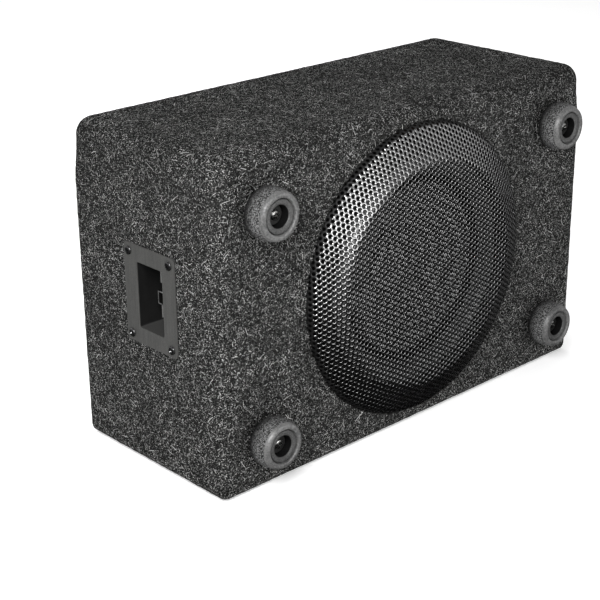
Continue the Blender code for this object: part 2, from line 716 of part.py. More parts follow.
def make_amplifier(aluminium, board_green, black, copper, steel, knob_black, lamp_red, gold):
    half_y = AMP_SIZE[0] / 2
    half_z = AMP_SIZE[1] / 2
    plate = block(
        "amp_plate",
        (AMP_BACK, AMP_Y - half_y, AMP_Z - half_z),
        (AMP_FACE, AMP_Y + half_y, AMP_Z + half_z),
        aluminium,
        round_along=0,
        radius=0.006,
    )
    bosses = corners((AMP_Y, AMP_Z), (0.096, 0.140), 0.006)
    cut(
        plate,
        side_rods("boss_forms", 0.004, bosses, AMP_BACK, "right", BOARD_FACE - AMP_BACK + GAP, 0.001),
        "UNION",
    )
    knob_places = [(KNOB_Y, z) for z in KNOB_Z.values()]
    holes = side_rods("shaft_holes", SHAFT_RADIUS + GAP, knob_places, AMP_FACE, "right", -0.01, 0.01)
    cut(plate, holes)
    jack_places = [(KNOB_Y - 0.009, JACK_Z), (KNOB_Y + 0.011, JACK_Z)]
    cut(plate, side_rods("jack_holes", 0.0043, jack_places, AMP_FACE, "right", -0.01, 0.01))
    lamp_place = [(KNOB_Y, LED_Z)]
    cut(plate, side_rods("lamp_hole", 0.0027, lamp_place, AMP_FACE, "right", -0.01, 0.01))
    screw_places = corners((AMP_Y, AMP_Z), AMP_SIZE, 0.0045)
    cut(plate, side_rods("amp_holes", 0.0018, screw_places, AMP_FACE, "right", -0.01, 0.01))
    tab_y = 0.002
    tab_z = 0.0017
    slot = block(
        "switch_slot",
        (AMP_BACK - 0.01, KNOB_Y - tab_y - GAP, SWITCH_Z - tab_z - GAP),
        (AMP_FACE + 0.01, KNOB_Y + tab_y + SWITCH_TRAVEL + GAP, SWITCH_Z + tab_z + GAP),
    )
    cut(plate, slot)
    switch = block(
        "switch_phase",
        (AMP_BACK - 0.004, KNOB_Y - tab_y, SWITCH_Z - tab_z),
        (AMP_FACE + 0.0022, KNOB_Y + tab_y, SWITCH_Z + tab_z),
        knob_black,
    )
    keeper = block(
        "keeper_form",
        (AMP_BACK - 0.005, KNOB_Y - 0.006, SWITCH_Z - 0.004),
        (AMP_BACK - 0.002, KNOB_Y + 0.006, SWITCH_Z + 0.004),
    )
    cut(switch, keeper, "UNION")

    face = AMP_PROUD + GAP
    for name, height in KNOB_Z.items():
        outline = [
            (0.0, face + KNOB_REACH),
            (KNOB_RADIUS - 0.0012, face + KNOB_REACH),
            (KNOB_RADIUS - 0.0004, face + KNOB_REACH - 0.0006),
            (KNOB_RADIUS, face),
            (SHAFT_RADIUS, face),
            (SHAFT_RADIUS, -0.011),
            (0.0, -0.011),
        ]
        knob = turned(name, outline, knob_black, (RIGHT, KNOB_Y, height), "right", steps=24)
        top = RIGHT + face + KNOB_REACH
        pointer = block(
            f"{name}_pointer",
            (top - 0.0008, KNOB_Y - 0.0006, height + 0.0012),
            (top + 0.002, KNOB_Y + 0.0006, height + KNOB_RADIUS + 0.001),
        )
        cut(knob, pointer)
    for name, (y, z) in zip(("rca_left", "rca_right"), jack_places):
        outline = [
            (0.0, 0.0020),
            (0.0017, 0.0020),
            (0.0017, 0.0090),
            (0.0041, 0.0090),
            (0.0041, 0.0026),
            (0.0058, 0.0026),
            (0.0058, face),
            (0.0039, face),
            (0.0039, -0.009),
            (0.0, -0.009),
        ]
        turned(name, outline, gold, (RIGHT, y, z), "right", steps=20)
    lamp = [(0.0, 0.0019), (0.0016, 0.0016), (0.0023, 0.0008), (0.0023, -0.004), (0.0, -0.004)]
    turned("status_led", lamp, lamp_red, (RIGHT, KNOB_Y, LED_Z), "right", steps=16)
    heads = [(AMP_FACE, y, z) for y, z in screw_places]
    screws("amp_screw", heads, "right", GAP, 0.0033, 0.0016, 0.0013, 0.013, steel)

    board_back = BOARD_FACE - BOARD_SHEET
    block(
        "amp_board",
        (board_back, AMP_Y - 0.048, AMP_Z - 0.070),
        (BOARD_FACE, AMP_Y + 0.048, AMP_Z + 0.070),
        board_green,
    )
    inward = board_back - GAP
    can = [(0.0, 0.0), (0.0084, 0.0), (0.0090, -0.001), (0.0090, -0.027), (0.0084, -0.028), (0.0, -0.028)]
    turned("capacitor", can, black, (inward, AMP_Y + 0.022, AMP_Z + 0.035), "right")
    ring = []
    for step in range(8):
        angle = 2 * math.pi * step / 8
        ring.append((0.014 + 0.006 * math.cos(angle), -0.0062 + 0.006 * math.sin(angle)))
    turned("toroid_coil", ring, copper, (inward, AMP_Y + 0.018, AMP_Z - 0.030), "right", steps=16)
    return inward


def make_leads(board_end, sleeve):
    """Two wires inside the box: one to the loudspeaker, one along the floor from the socket."""
    speaker = [
        (DRIVER_X + 0.0790, FRONT + 0.0380, DRIVER_Z + 0.030),
        (DRIVER_X + 0.0950, FRONT + 0.0480, DRIVER_Z + 0.024),
        (DRIVER_X + 0.1200, FRONT + 0.0620, DRIVER_Z + 0.004),
        (DRIVER_X + 0.1500, FRONT + 0.0720, DRIVER_Z - 0.002),
        (board_end - 0.006, FRONT + 0.0750, DRIVER_Z - 0.0005),
        (board_end - 0.0006, FRONT + 0.0752, DRIVER_Z),
    ]
    lead("speaker_lead", speaker, 0.0015, sleeve)
    start = LEFT - WELL_PROUD + WELL_DEPTH + WELL_WALL + 0.003 + GAP
    lead_end = board_end - 0.0004
    harness = [
        (start, SOCKET_Y, SOCKET_Z),
        (start + 0.010, SOCKET_Y + 0.002, SOCKET_Z - 0.004),
        (start + 0.024, 0.016, 0.084),
        (start + 0.050, 0.034, 0.040),
        (-0.060, 0.044, 0.026),
        (0.0, 0.047, 0.0245),
        (0.080, 0.040, 0.027),
        (0.135, 0.026, 0.044),
        (0.160, 0.014, 0.064),
        (lead_end - 0.006, 0.010, 0.0725),
        (lead_end, 0.009, 0.0735),
    ]
    lead("harness_lead", harness, 0.003, sleeve)


clear_scene()
PARTS = new_collection("powered_car_subwoofer")
CUTTERS = new_collection("cutters")
CUTTERS.hide_render = True

wood = make_material("fibreboard", (0.33, 0.22, 0.13), 0.85)
felt = make_material("charcoal_carpet", (0.045, 0.045, 0.048), 0.95)
foot_rubber = make_material("foot_rubber", (0.05, 0.05, 0.052), 0.75)
black_steel = make_material("black_steel", (0.012, 0.012, 0.013), 0.35, 0.6)
bright_steel = make_material("bright_steel", (0.55, 0.55, 0.55), 0.3, 1.0)
plain_steel = make_material("zinc_steel", (0.45, 0.45, 0.46), 0.4, 1.0)
ferrite = make_material("ferrite", (0.03, 0.03, 0.032), 0.6)
foam = make_material("gasket_foam", (0.02, 0.02, 0.02), 0.9)
roll_rubber = make_material("surround_rubber", (0.03, 0.03, 0.03), 0.45)
woven = make_material("woven_fibre", (0.035, 0.035, 0.038), 0.5)
spider_cloth = make_material("spider_cloth", (0.45, 0.30, 0.10), 0.8)
coil_former = make_material("coil_former", (0.60, 0.42, 0.20), 0.5)
grey_plastic = make_material("plate_plastic", (0.095, 0.095, 0.092), 0.55)
black_plastic = make_material("black_plastic", (0.012, 0.012, 0.012), 0.5)
knob_plastic = make_material("knob_plastic", (0.02, 0.02, 0.02), 0.45)
brass = make_material("contact_brass", (0.70, 0.50, 0.20), 0.3, 1.0)
aluminium = make_material("black_aluminium", (0.03, 0.03, 0.03), 0.45, 0.7)
circuit = make_material("circuit_board", (0.02, 0.16, 0.06), 0.5)
copper = make_material("copper_wire", (0.60, 0.25, 0.10), 0.35, 1.0)
lamp = make_material("lamp_red", (0.50, 0.02, 0.02), 0.2)
sleeve = make_material("wire_sleeve", (0.02, 0.02, 0.02), 0.5)

panels = make_panels(wood)
carpet = make_carpet(felt)
cut_front(panels, carpet)
cut_ends(panels, carpet)
make_feet(foot_rubber, bright_steel)
make_grille(black_steel)
make_basket(black_steel, foam, roll_rubber)
make_cone(woven, coil_former)
make_motor(plain_steel, ferrite, spider_cloth)
make_connector(grey_plastic, black_plastic, black_steel, brass)
board_end = make_amplifier(
    aluminium, circuit, black_plastic, copper, bright_steel, knob_plastic, lamp, brass
)
make_leads(board_end, sleeve)
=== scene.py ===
"""Looks for the powered car subwoofer: carpet, perforated grille, rubber feet, woven cone and plates."""

import math

import bmesh
import bpy
import numpy as np
from mathutils import Matrix, Vector


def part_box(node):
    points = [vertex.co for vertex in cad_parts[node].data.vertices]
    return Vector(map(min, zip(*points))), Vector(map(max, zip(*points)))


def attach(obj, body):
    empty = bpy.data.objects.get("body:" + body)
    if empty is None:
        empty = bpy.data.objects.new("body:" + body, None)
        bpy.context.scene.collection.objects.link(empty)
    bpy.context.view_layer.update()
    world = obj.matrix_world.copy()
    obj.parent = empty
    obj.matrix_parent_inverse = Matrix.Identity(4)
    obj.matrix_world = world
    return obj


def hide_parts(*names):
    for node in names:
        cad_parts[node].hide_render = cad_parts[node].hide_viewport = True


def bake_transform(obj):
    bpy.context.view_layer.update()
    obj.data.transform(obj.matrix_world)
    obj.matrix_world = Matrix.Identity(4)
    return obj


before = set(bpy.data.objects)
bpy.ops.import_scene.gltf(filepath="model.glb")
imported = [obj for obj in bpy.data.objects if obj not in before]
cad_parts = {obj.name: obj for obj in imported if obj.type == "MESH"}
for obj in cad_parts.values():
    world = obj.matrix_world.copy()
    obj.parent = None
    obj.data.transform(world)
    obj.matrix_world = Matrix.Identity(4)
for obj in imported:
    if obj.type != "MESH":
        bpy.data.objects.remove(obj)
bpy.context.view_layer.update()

# Places, all read from the frame
WRAP_LOW, WRAP_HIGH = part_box("carpet_wrap")
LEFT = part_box("carpet_left")[0].x
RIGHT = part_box("carpet_right")[1].x
FRONT = WRAP_LOW.y
BACK = WRAP_HIGH.y
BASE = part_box("carpet_base")[0].z
TOP = WRAP_HIGH.z
GRILLE_LOW, GRILLE_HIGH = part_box("grille")
DRIVER_X = (GRILLE_LOW.x + GRILLE_HIGH.x) / 2
DRIVER_Z = (GRILLE_LOW.z + GRILLE_HIGH.z) / 2
GRILLE_RADIUS = (GRILLE_HIGH.z - GRILLE_LOW.z) / 2
GRILLE_HEIGHT = FRONT - GRILLE_LOW.y
HEIGHT = TOP - BASE
DRIVER = Vector((DRIVER_X, FRONT, DRIVER_Z))
WELL_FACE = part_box("connector_well")[0].x

# Sizes that the nodes' boxes don't give
CARPET = 0.0025
GAP = 0.0003  # between parts that touch
WELL_DEPTH = 0.024
WELL_MOUTH = (0.029, 0.0505)

# The turn that faces a part made along +Z this way
FACING = {
    "front": Matrix.Rotation(math.pi / 2, 4, "X"),
    "left": Matrix.Rotation(-math.pi / 2, 4, "Y"),
    "right": Matrix.Rotation(math.pi / 2, 4, "Y"),
}


def middle(node):
    low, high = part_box(node)
    return (low + high) / 2


WELL = middle("connector_well")
WELL_SILL = WELL.z - WELL_MOUTH[1] / 2


def grey(tone):
    return (tone,) * 3


# ---- material kit


class Finish:
    """One Principled material, with short calls for adding and joining its nodes."""

    def __init__(self, name, colour, roughness, metallic=0.0, **extra):
        self.material = bpy.data.materials.new(name)
        self.material.use_nodes = True
        self.tree = self.material.node_tree
        self.shader = self.tree.nodes["Principled BSDF"]
        self.set(self.shader, "Base Color", (*colour, 1.0))
        self.set(self.shader, "Roughness", roughness)
        self.set(self.shader, "Metallic", metallic)
        for socket, value in extra.items():
            self.set(self.shader, socket.replace("_", " "), value)
        self.place = self.add("ShaderNodeTexCoord").outputs["Object"]

    def set(self, node, socket, value):
        if isinstance(value, bpy.types.NodeSocket):
            self.tree.links.new(value, node.inputs[socket])
        else:
            node.inputs[socket].default_value = value

    def add(self, kind, sockets=(), **settings):
        node = self.tree.nodes.new(kind)
        for key, value in settings.items():
            setattr(node, key, value)
        for socket, value in dict(sockets).items():
            self.set(node, socket, value)
        return node

    def math(self, operation, *values, clamp=False):
        node = self.add("ShaderNodeMath", enumerate(values), operation=operation, use_clamp=clamp)
        return node.outputs[0]

    def vector(self, operation, *values, output="Vector"):
        sockets = dict(enumerate(values))
        if operation == "SCALE":
            sockets = {0: values[0], "Scale": values[1]}
        return self.add("ShaderNodeVectorMath", sockets, operation=operation).outputs[output]

    def noise(self, scale, detail=2.0, roughness=0.5, place=None, output="Fac"):
        sockets = {"Scale": scale, "Detail": detail, "Roughness": roughness}
        sockets["Vector"] = place or self.place
        return self.add("ShaderNodeTexNoise", sockets).outputs[output]

    def fade(self, value, low, high, to_low=0.0, to_high=1.0):
        """Smoothly from to_low at low to to_high at high."""
        sockets = {"Value": value, "From Min": low, "From Max": high, "To Min": to_low, "To Max": to_high}
        node = self.add("ShaderNodeMapRange", sockets, interpolation_type="SMOOTHSTEP")
        return node.outputs["Result"]

    def mix(self, share, first, second):
        node = self.add("ShaderNodeMix", data_type="RGBA")
        for socket, value in ((0, share), (6, first), (7, second)):
            if isinstance(value, tuple) and len(value) == 3:
                value = (*value, 1.0)
            self.set(node, socket, value)
        return node.outputs[2]

    def bump(self, height, distance, strength=1.0, under=None):
        sockets = {"Height": height, "Distance": distance, "Strength": strength}
        if under:
            sockets["Normal"] = under
        return self.add("ShaderNodeBump", sockets).outputs["Normal"]

    def drive(self, socket, value):
        self.set(self.shader, socket, value)

    def along(self, axis):
        """How far along X, Y or Z the shaded point lies."""
        return self.add("ShaderNodeSeparateXYZ", {"Vector": self.place}).outputs[axis]


def fibre_layer(finish, place, normal, per_metre, half_width, half_length, rarity, offset):
    """Short pale strands lying in the surface: one per Voronoi cell, each at its own angle and brightness."""
    spread = finish.vector("SCALE", place, per_metre)
    spread = finish.vector("ADD", spread, offset)
    cells = finish.add("ShaderNodeTexVoronoi", {"Vector": spread, "Scale": 1.0, "Randomness": 1.0})
    away = finish.vector("SUBTRACT", spread, cells.outputs["Position"])
    shade = cells.outputs["Color"]
    aim = finish.vector("SUBTRACT", shade, (0.5, 0.5, 0.5))
    lift = finish.vector("DOT_PRODUCT", aim, normal, output="Value")
    aim = finish.vector("SUBTRACT", aim, finish.vector("SCALE", normal, lift))
    aim = finish.vector("NORMALIZE", aim)
    side = finish.vector("CROSS_PRODUCT", normal, aim)
    along = finish.vector("DOT_PRODUCT", away, aim, output="Value")
    across = finish.vector("DOT_PRODUCT", away, side, output="Value")
    split = finish.add("ShaderNodeSeparateColor", {"Color": shade})
    bend = finish.math("MULTIPLY_ADD", split.outputs[2], 0.7, -0.35)
    curve = finish.math("MULTIPLY", finish.math("MULTIPLY", along, along), bend)
    across = finish.math("ABSOLUTE", finish.math("ADD", across, curve))
    along = finish.math("ABSOLUTE", along)
    body = finish.fade(across, half_width, 0.3 * half_width)
    ends = finish.fade(along, half_length, 0.7 * half_length)
    rank = finish.add("ShaderNodeTexWhiteNoise", {"Vector": cells.outputs["Position"]}, noise_dimensions="3D")
    bright = finish.math("POWER", rank.outputs["Value"], rarity)
    return finish.math("MULTIPLY", finish.math("MULTIPLY", body, ends), bright)


CARPET_LAYERS = (
    # cells per metre, half width and half length in cells, how rare bright ones are, offset
    (150.0, 0.045, 0.75, 11.0, (3.3, 9.1, 5.7)),
    (300.0, 0.078, 0.50, 8.0, (31.7, 12.3, 4.9)),
    (420.0, 0.110, 0.42, 7.0, (7.1, 43.9, 22.6)),
    (600.0, 0.165, 0.34, 6.0, (61.3, 8.7, 35.2)),
    (880.0, 0.240, 0.34, 5.5, (17.9, 77.1, 12.8)),
)


def make_carpet_finish():
    finish = Finish("charcoal_carpet", (0.03, 0.03, 0.031), 1.0, Specular_IOR_Level=0.0)
    normal = finish.add("ShaderNodeNewGeometry").outputs["Normal"]
    wobble = finish.noise(420.0, 2.0, 0.5, output="Color")
    wobble = finish.vector("SCALE", finish.vector("SUBTRACT", wobble, (0.5, 0.5, 0.5)), 0.0005)
    place = finish.vector("ADD", finish.place, wobble)
    layers = [fibre_layer(finish, place, normal, *layer) for layer in CARPET_LAYERS]
    strands = layers[0]
    for layer in layers[1:]:
        strands = finish.math("MAXIMUM", strands, layer)
    grain = finish.noise(1100.0, 4.0, 0.7)
    patches = finish.noise(24.0, 4.0, 0.65)
    clumps = finish.noise(150.0, 3.0, 0.6)
    ground = finish.mix(finish.fade(grain, 0.40, 0.66), grey(0.002), (0.030, 0.030, 0.029))
    strength = finish.math("MULTIPLY", strands, finish.fade(patches, 0.3, 0.7, 0.75, 1.3))
    strength = finish.math("MULTIPLY", strength, finish.fade(clumps, 0.3, 0.7, 0.65, 1.35), clamp=True)
    colour = finish.mix(strength, ground, (0.62, 0.62, 0.61))
    finish.drive("Base Color", colour)
    height = finish.math("MULTIPLY_ADD", grain, 0.8, strands)
    finish.drive("Normal", finish.bump(height, 0.0007, 0.9))
    return finish.material


def make_speckled(name, dark, light, roughness, scale, depth, specular=0.5, ior=1.5):
    """Moulded rubber, plastic or paint: a fine two-tone grain with a matching bump."""
    finish = Finish(name, dark, roughness, Specular_IOR_Level=specular, IOR=ior)
    grain = finish.noise(scale, 4.0, 0.62)
    cloud = finish.noise(scale * 0.04, 2.0, 0.5)
    share = finish.math("MULTIPLY_ADD", cloud, 0.3, finish.math("MULTIPLY", grain, 0.7))
    finish.drive("Base Color", finish.mix(finish.fade(share, 0.35, 0.65), dark, light))
    finish.drive("Roughness", finish.fade(grain, 0.3, 0.7, min(1.0, roughness + 0.1), roughness - 0.08))
    finish.drive("Normal", finish.bump(grain, depth, 0.6))
    return finish.material


def make_metal(name, colour, roughness, metallic=1.0):
    """Bare or plated metal with fine scuffs."""
    finish = Finish(name, colour, roughness, metallic)
    scuff = finish.noise(900.0, 5.0, 0.7)
    cloud = finish.noise(60.0, 2.0, 0.5)
    dim = tuple(0.72 * value for value in colour)
    finish.drive("Base Color", finish.mix(finish.fade(cloud, 0.35, 0.7), colour, dim))
    finish.drive("Roughness", finish.fade(scuff, 0.3, 0.7, roughness - 0.06, roughness + 0.12))
    finish.drive("Normal", finish.bump(scuff, 0.00004, 0.4))
    return finish.material


THREADS = 300.0  # per metre along X or Z


def make_weave_finish():
    """Fibre cloth woven at 45 degrees: two sets of rounded threads, over and under in turn."""
    finish = Finish("woven_cone", (0.03, 0.03, 0.032), 0.38, Specular_IOR_Level=0.3)
    x = finish.math("MULTIPLY", finish.along("X"), THREADS)
    z = finish.math("MULTIPLY", finish.along("Z"), THREADS)
    warp = finish.math("ADD", x, z)
    weft = finish.math("SUBTRACT", x, z)
    round_warp = finish.math("ABSOLUTE", finish.math("SINE", finish.math("MULTIPLY", warp, math.pi)))
    round_weft = finish.math("ABSOLUTE", finish.math("SINE", finish.math("MULTIPLY", weft, math.pi)))
    turn = finish.math("ADD", finish.math("FLOOR", warp), finish.math("FLOOR", weft))
    over = finish.math("GREATER_THAN", finish.math("PINGPONG", turn, 1.0), 0.5)
    warp_up = finish.math("MULTIPLY", round_warp, over)
    weft_up = finish.math("MULTIPLY", round_weft, finish.math("SUBTRACT", 1.0, over))
    height = finish.math("ADD", warp_up, weft_up)
    fuzz = finish.noise(1800.0, 2.0, 0.5)
    tone = finish.mix(over, grey(0.80), grey(0.07))
    # Painted shade: each thread darkens to near black down its sides into the gaps between threads
    tone = finish.mix(finish.fade(height, 0.80, 0.45), tone, grey(0.002))
    finish.drive("Base Color", tone)
    finish.drive("Roughness", finish.fade(fuzz, 0.3, 0.7, 0.32, 0.5))
    finish.drive("Normal", finish.bump(height, 0.0006, 0.9))
    return finish.material


def make_flank_finish():
    """Coarse moulded grain round a foot's side, with painted shade towards where it meets the felt."""
    finish = Finish("flank_rubber", grey(0.05), 0.8, Specular_IOR_Level=0.2)
    grain = finish.noise(950.0, 4.0, 0.7)
    tone = finish.mix(finish.fade(grain, 0.43, 0.60), grey(0.002), grey(0.19))
    # Painted shade: the flank darkens to near black towards its base on the felt
    out_of_painted_shade = finish.fade(finish.along("Y"), FRONT - 0.0010, FRONT - 0.0130)
    finish.drive("Base Color", finish.mix(out_of_painted_shade, grey(0.003), tone))
    finish.drive("Normal", finish.bump(grain, 0.0006, 0.7))
    return finish.material


def make_plate_finish():
    """Grey moulded plastic, whose sunken tub is painted nearly black as painted shade, with its floor a
    little lighter as painted light.
    """
    finish = Finish("plate_plastic", (0.055, 0.055, 0.053), 0.6, Specular_IOR_Level=0.25)
    grain = finish.noise(2600.0, 4.0, 0.62)
    streaks = finish.noise(160.0, 3.0, 0.6, finish.vector("MULTIPLY", finish.place, (1.0, 4.0, 0.25)))
    depth = finish.math("SUBTRACT", finish.along("X"), WELL_FACE)
    tone = finish.mix(finish.fade(grain, 0.35, 0.65), (0.052, 0.052, 0.050), (0.080, 0.080, 0.077))
    tone = finish.mix(finish.fade(streaks, 0.3, 0.7, 0.0, 0.45), tone, (0.034, 0.034, 0.033))
    # Painted shade: the tub is nearly black; its floor is painted a little lighter as painted light where
    # light falls
    dark = finish.mix(streaks, grey(0.002), grey(0.012))
    lit_floor_share = finish.fade(finish.along("Z"), WELL_SILL + 0.0005, WELL_SILL + 0.0001)
    dark = finish.mix(lit_floor_share, dark, (0.045, 0.045, 0.044))
    finish.drive("Base Color", finish.mix(finish.fade(depth, 0.0006, 0.0012), tone, dark))
    finish.drive("Roughness", finish.fade(grain, 0.3, 0.7, 0.65, 0.48))
    finish.drive("Normal", finish.bump(grain, 0.00012, 0.6))
    return finish.material


def make_wood_finish():
    """Fibreboard, with the front of the baffle stained black so that it doesn't show behind the grille."""
    finish = Finish("fibreboard", (0.30, 0.20, 0.12), 0.9, Specular_IOR_Level=0.1)
    chips = finish.noise(700.0, 4.0, 0.7)
    bare = finish.mix(chips, (0.20, 0.13, 0.075), (0.42, 0.29, 0.18))
    stain = finish.mix(chips, grey(0.002), grey(0.005))
    stained = finish.fade(finish.along("Y"), FRONT + 0.006, FRONT + 0.004)
    finish.drive("Base Color", finish.mix(stained, bare, stain))
    finish.drive("Normal", finish.bump(chips, 0.0002, 0.6))
    return finish.material


def make_circuit_finish():
    """Solder mask with a faint net of tracks."""
    finish = Finish("circuit_board", (0.015, 0.12, 0.05), 0.35)
    sockets = {"Vector": finish.vector("SCALE", finish.place, 90.0), "Mortar Size": 0.03, "Scale": 1.0}
    sockets["Color1"] = (0.012, 0.11, 0.045, 1.0)
    sockets["Color2"] = (0.018, 0.14, 0.06, 1.0)
    sockets["Mortar"] = (0.05, 0.22, 0.10, 1.0)
    finish.drive("Base Color", finish.add("ShaderNodeTexBrick", sockets).outputs["Color"])
    return finish.material


SPECKLED = {
    # finish: material, dark and light tone, roughness, grains per metre, bump depth, specular level, IOR
    "rubber": ("foot_rubber", grey(0.04), (0.15, 0.15, 0.148), 0.42, 700, 0.0003, 0.9),
    # Painted shade: the foot's sunken inner ring is a darker copy of the foot rubber
    "inner_rubber_painted_shade": ("inner_rubber_painted_shade", grey(0.03), (0.085, 0.085, 0.084), 0.55, 900, 0.0002, 0.4),
    # Painted shade: the foot's hole is a near black copy of the foot rubber
    "hole_rubber_painted_shade": ("hole_rubber_painted_shade", grey(0.002), grey(0.004), 0.8, 1400, 0.0002, 0.1),
    "grille": ("grille_paint", grey(0.002), grey(0.005), 0.22, 1600, 0.00004, 1.0, 2.6),
    "grille_side": ("grille_side", grey(0.004), grey(0.01), 0.5, 1200, 0.00004, 0.3),
    "hole_edge": ("hole_edge", grey(0.002), grey(0.004), 0.8, 900, 0.00002, 0.1),
    "basket": ("basket_paint", grey(0.002), grey(0.005), 0.6, 900, 0.00008, 0.06),
    "black": ("black_plastic", grey(0.01), grey(0.022), 0.48, 1800, 0.0001),
    "knob": ("knob_plastic", grey(0.016), grey(0.03), 0.42, 1500, 0.00008),
    "socket": ("socket_plastic", grey(0.002), grey(0.004), 0.6, 1800, 0.00005, 0.2),
    # Painted highlight: the socket's outer end is pale grey so that its outline shows light
    "socket_end_painted_highlight": ("socket_end_painted_highlight", grey(0.03), grey(0.16), 0.5, 400, 0.00005),
    # Painted highlight: pale ribs that stand in for the light line along the tub's moulded corner
    "highlight_rib": ("well_highlight_rib", (0.22, 0.22, 0.215), (0.32, 0.32, 0.315), 0.5, 900, 0.00005),
    "foam": ("gasket_foam", grey(0.003), grey(0.01), 0.95, 1100, 0.0006),
    # The surround's rubber tone: black rubber lifted paler as painted light, so that its lit crest shows
    # through the grille
    "roll": ("surround_rubber", (0.1, 0.1, 0.101), (0.16, 0.16, 0.161), 0.26, 700, 0.00005, 1.0, 1.8),
    # The cone's outer band: partly the surround's black rubber lap, partly painted shade by the surround
    "lap": ("surround_lap_painted_shade", grey(0.003), grey(0.007), 0.6, 900, 0.00005, 0.1),
    "amp": ("amp_paint", (0.018, 0.018, 0.019), (0.035, 0.035, 0.036), 0.5, 1900, 0.0002),
    "print": ("pale_print", (0.62, 0.62, 0.6), (0.72, 0.72, 0.7), 0.6, 900, 0.00002),
    "ferrite": ("ferrite", (0.03, 0.03, 0.032), (0.055, 0.055, 0.058), 0.62, 700, 0.0003),
    "spider": ("spider_cloth", (0.34, 0.22, 0.07), (0.48, 0.33, 0.13), 0.8, 1300, 0.0004),
    "former": ("coil_former", (0.5, 0.34, 0.15), (0.62, 0.44, 0.22), 0.5, 800, 0.00005),
    "sleeve": ("wire_sleeve", grey(0.015), grey(0.03), 0.5, 800, 0.00005),
    "lamp": ("lamp_red", (0.45, 0.012, 0.012), (0.6, 0.03, 0.02), 0.15, 300, 0.00002),
    "white": ("jack_white", (0.62, 0.62, 0.6), (0.7, 0.7, 0.68), 0.4, 700, 0.00003),
    "red": ("jack_red", (0.42, 0.015, 0.015), (0.5, 0.025, 0.022), 0.4, 700, 0.00003),
}
METALS = {
    # finish: material, colour, roughness, metallic
    "steel": ("screw_steel", (0.42, 0.42, 0.41), 0.22),
    "washer": ("washer_zinc", (0.05, 0.05, 0.049), 0.5, 0.7),
    "dark_steel": ("black_screw", (0.15, 0.15, 0.152), 0.24, 0.95),
    "zinc": ("motor_steel", grey(0.5), 0.38),
    "gold": ("contact_metal", (0.72, 0.52, 0.22), 0.26),
    "copper": ("copper_wire", (0.62, 0.26, 0.11), 0.35),
}
FINISHES = {
    "carpet": make_carpet_finish(),
    "weave": make_weave_finish(),
    "flank_rubber": make_flank_finish(),
    "plate": make_plate_finish(),
    "wood": make_wood_finish(),
    "circuit": make_circuit_finish(),
}
FINISHES.update({finish: make_speckled(*row) for finish, row in SPECKLED.items()})
FINISHES.update({finish: make_metal(*row) for finish, row in METALS.items()})

# ---- mesh kit


def add_item(name, data):
    item = bpy.data.objects.new(name, data)
    bpy.context.scene.collection.objects.link(item)
    return item


def add_piece(name, mesh, finish, replaces=(), body="box"):
    """A piece in its finish. A body of None leaves the piece unattached."""
    piece = add_item(name, mesh)
    mesh.name = name
    mesh.materials.clear()
    mesh.materials.append(FINISHES[finish])
    if body:
        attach(piece, body)
    if replaces:
        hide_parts(*replaces)
    return piece


def paint_faces(mesh, finish, chosen):
    """Give the faces whose middle passes the test a second finish."""
    mesh.materials.append(FINISHES[finish])
    index = len(mesh.materials) - 1
    for face in mesh.polygons:
        if chosen(face.center):
            face.material_index = index


def mesh_from(form, sharp=35):
    """A mesh shaded smooth, with edges sharp beyond that many degrees."""
    bmesh.ops.recalc_face_normals(form, faces=form.faces)
    mesh = bpy.data.meshes.new("mesh")
    form.to_mesh(mesh)
    form.free()
    mesh.shade_smooth()
    mesh.set_sharp_from_angle(angle=math.radians(sharp))
    return mesh


def set_in_place(mesh, place, facing="front"):
    """Carry a mesh made along +Z to its place, so that its object stays at the origin."""
    mesh.transform(Matrix.Translation(Vector(place)) @ FACING[facing])


def lathe(outline, steps, turn=0.0, sweep=2 * math.pi):
    """Spin (radius, height) points round Z. The outline closes, unless its ends lie on the axis."""
    form = bmesh.new()
    full = sweep > 2 * math.pi - 1e-6
    rings = []
    count = steps if full else steps + 1
    for radius, height in outline:
        if radius < 1e-7:
            rings.append([form.verts.new((0.0, 0.0, height))])
            continue
        ring = []
        for step in range(count):
            angle = turn + sweep * step / steps
            ring.append(form.verts.new((radius * math.cos(angle), radius * math.sin(angle), height)))
        rings.append(ring)
    pairs = list(zip(rings, rings[1:]))
    if len(rings[0]) > 1 and len(rings[-1]) > 1:
        pairs.append((rings[-1], rings[0]))
    for here, after in pairs:
        for step in range(steps):
            follow = (step + 1) % count
            corners = [here[step % len(here)], here[follow % len(here)]]
            corners += [after[follow % len(after)], after[step % len(after)]]
            unique = list(dict.fromkeys(corners))
            if len(unique) > 2:
                form.faces.new(unique)
    return form


def rounded(points, radius, arc_steps=4):
    """An open or closed outline with its inner corners replaced by arcs."""
    result = [points[0]]
    for before, here, after in zip(points, points[1:], points[2:]):
        here_v = Vector(here)
        back = Vector(before) - here_v
        ahead = Vector(after) - here_v
        reach = min(radius, 0.45 * back.length, 0.45 * ahead.length)
        start = here_v + back.normalized() * reach
        end = here_v + ahead.normalized() * reach
        for step in range(arc_steps + 1):
            t = step / arc_steps
            point = start * (1 - t) ** 2 + here_v * 2 * t * (1 - t) + end * t * t
            result.append(tuple(point))
    result.append(points[-1])
    return result


def loft(rings):
    """A closed solid through rings of points, capped at both ends."""
    form = bmesh.new()
    loops = [[form.verts.new(point) for point in ring] for ring in rings]
    for here, after in zip(loops, loops[1:]):
        for step in range(len(here)):
            form.faces.new((here[step - 1], here[step], after[step], after[step - 1]))
    form.faces.new(list(reversed(loops[0])))
    form.faces.new(loops[-1])
    return form


def thick(points, above, below):
    """The closed outline of a sheet that reaches this far above and below an open one."""
    return [(r, h + above) for r, h in points] + [(r, h - below) for r, h in reversed(points)]


def off_axis(point):
    """A point's distance from the axis of a part that is still along +Z."""
    return math.hypot(point.x, point.y)


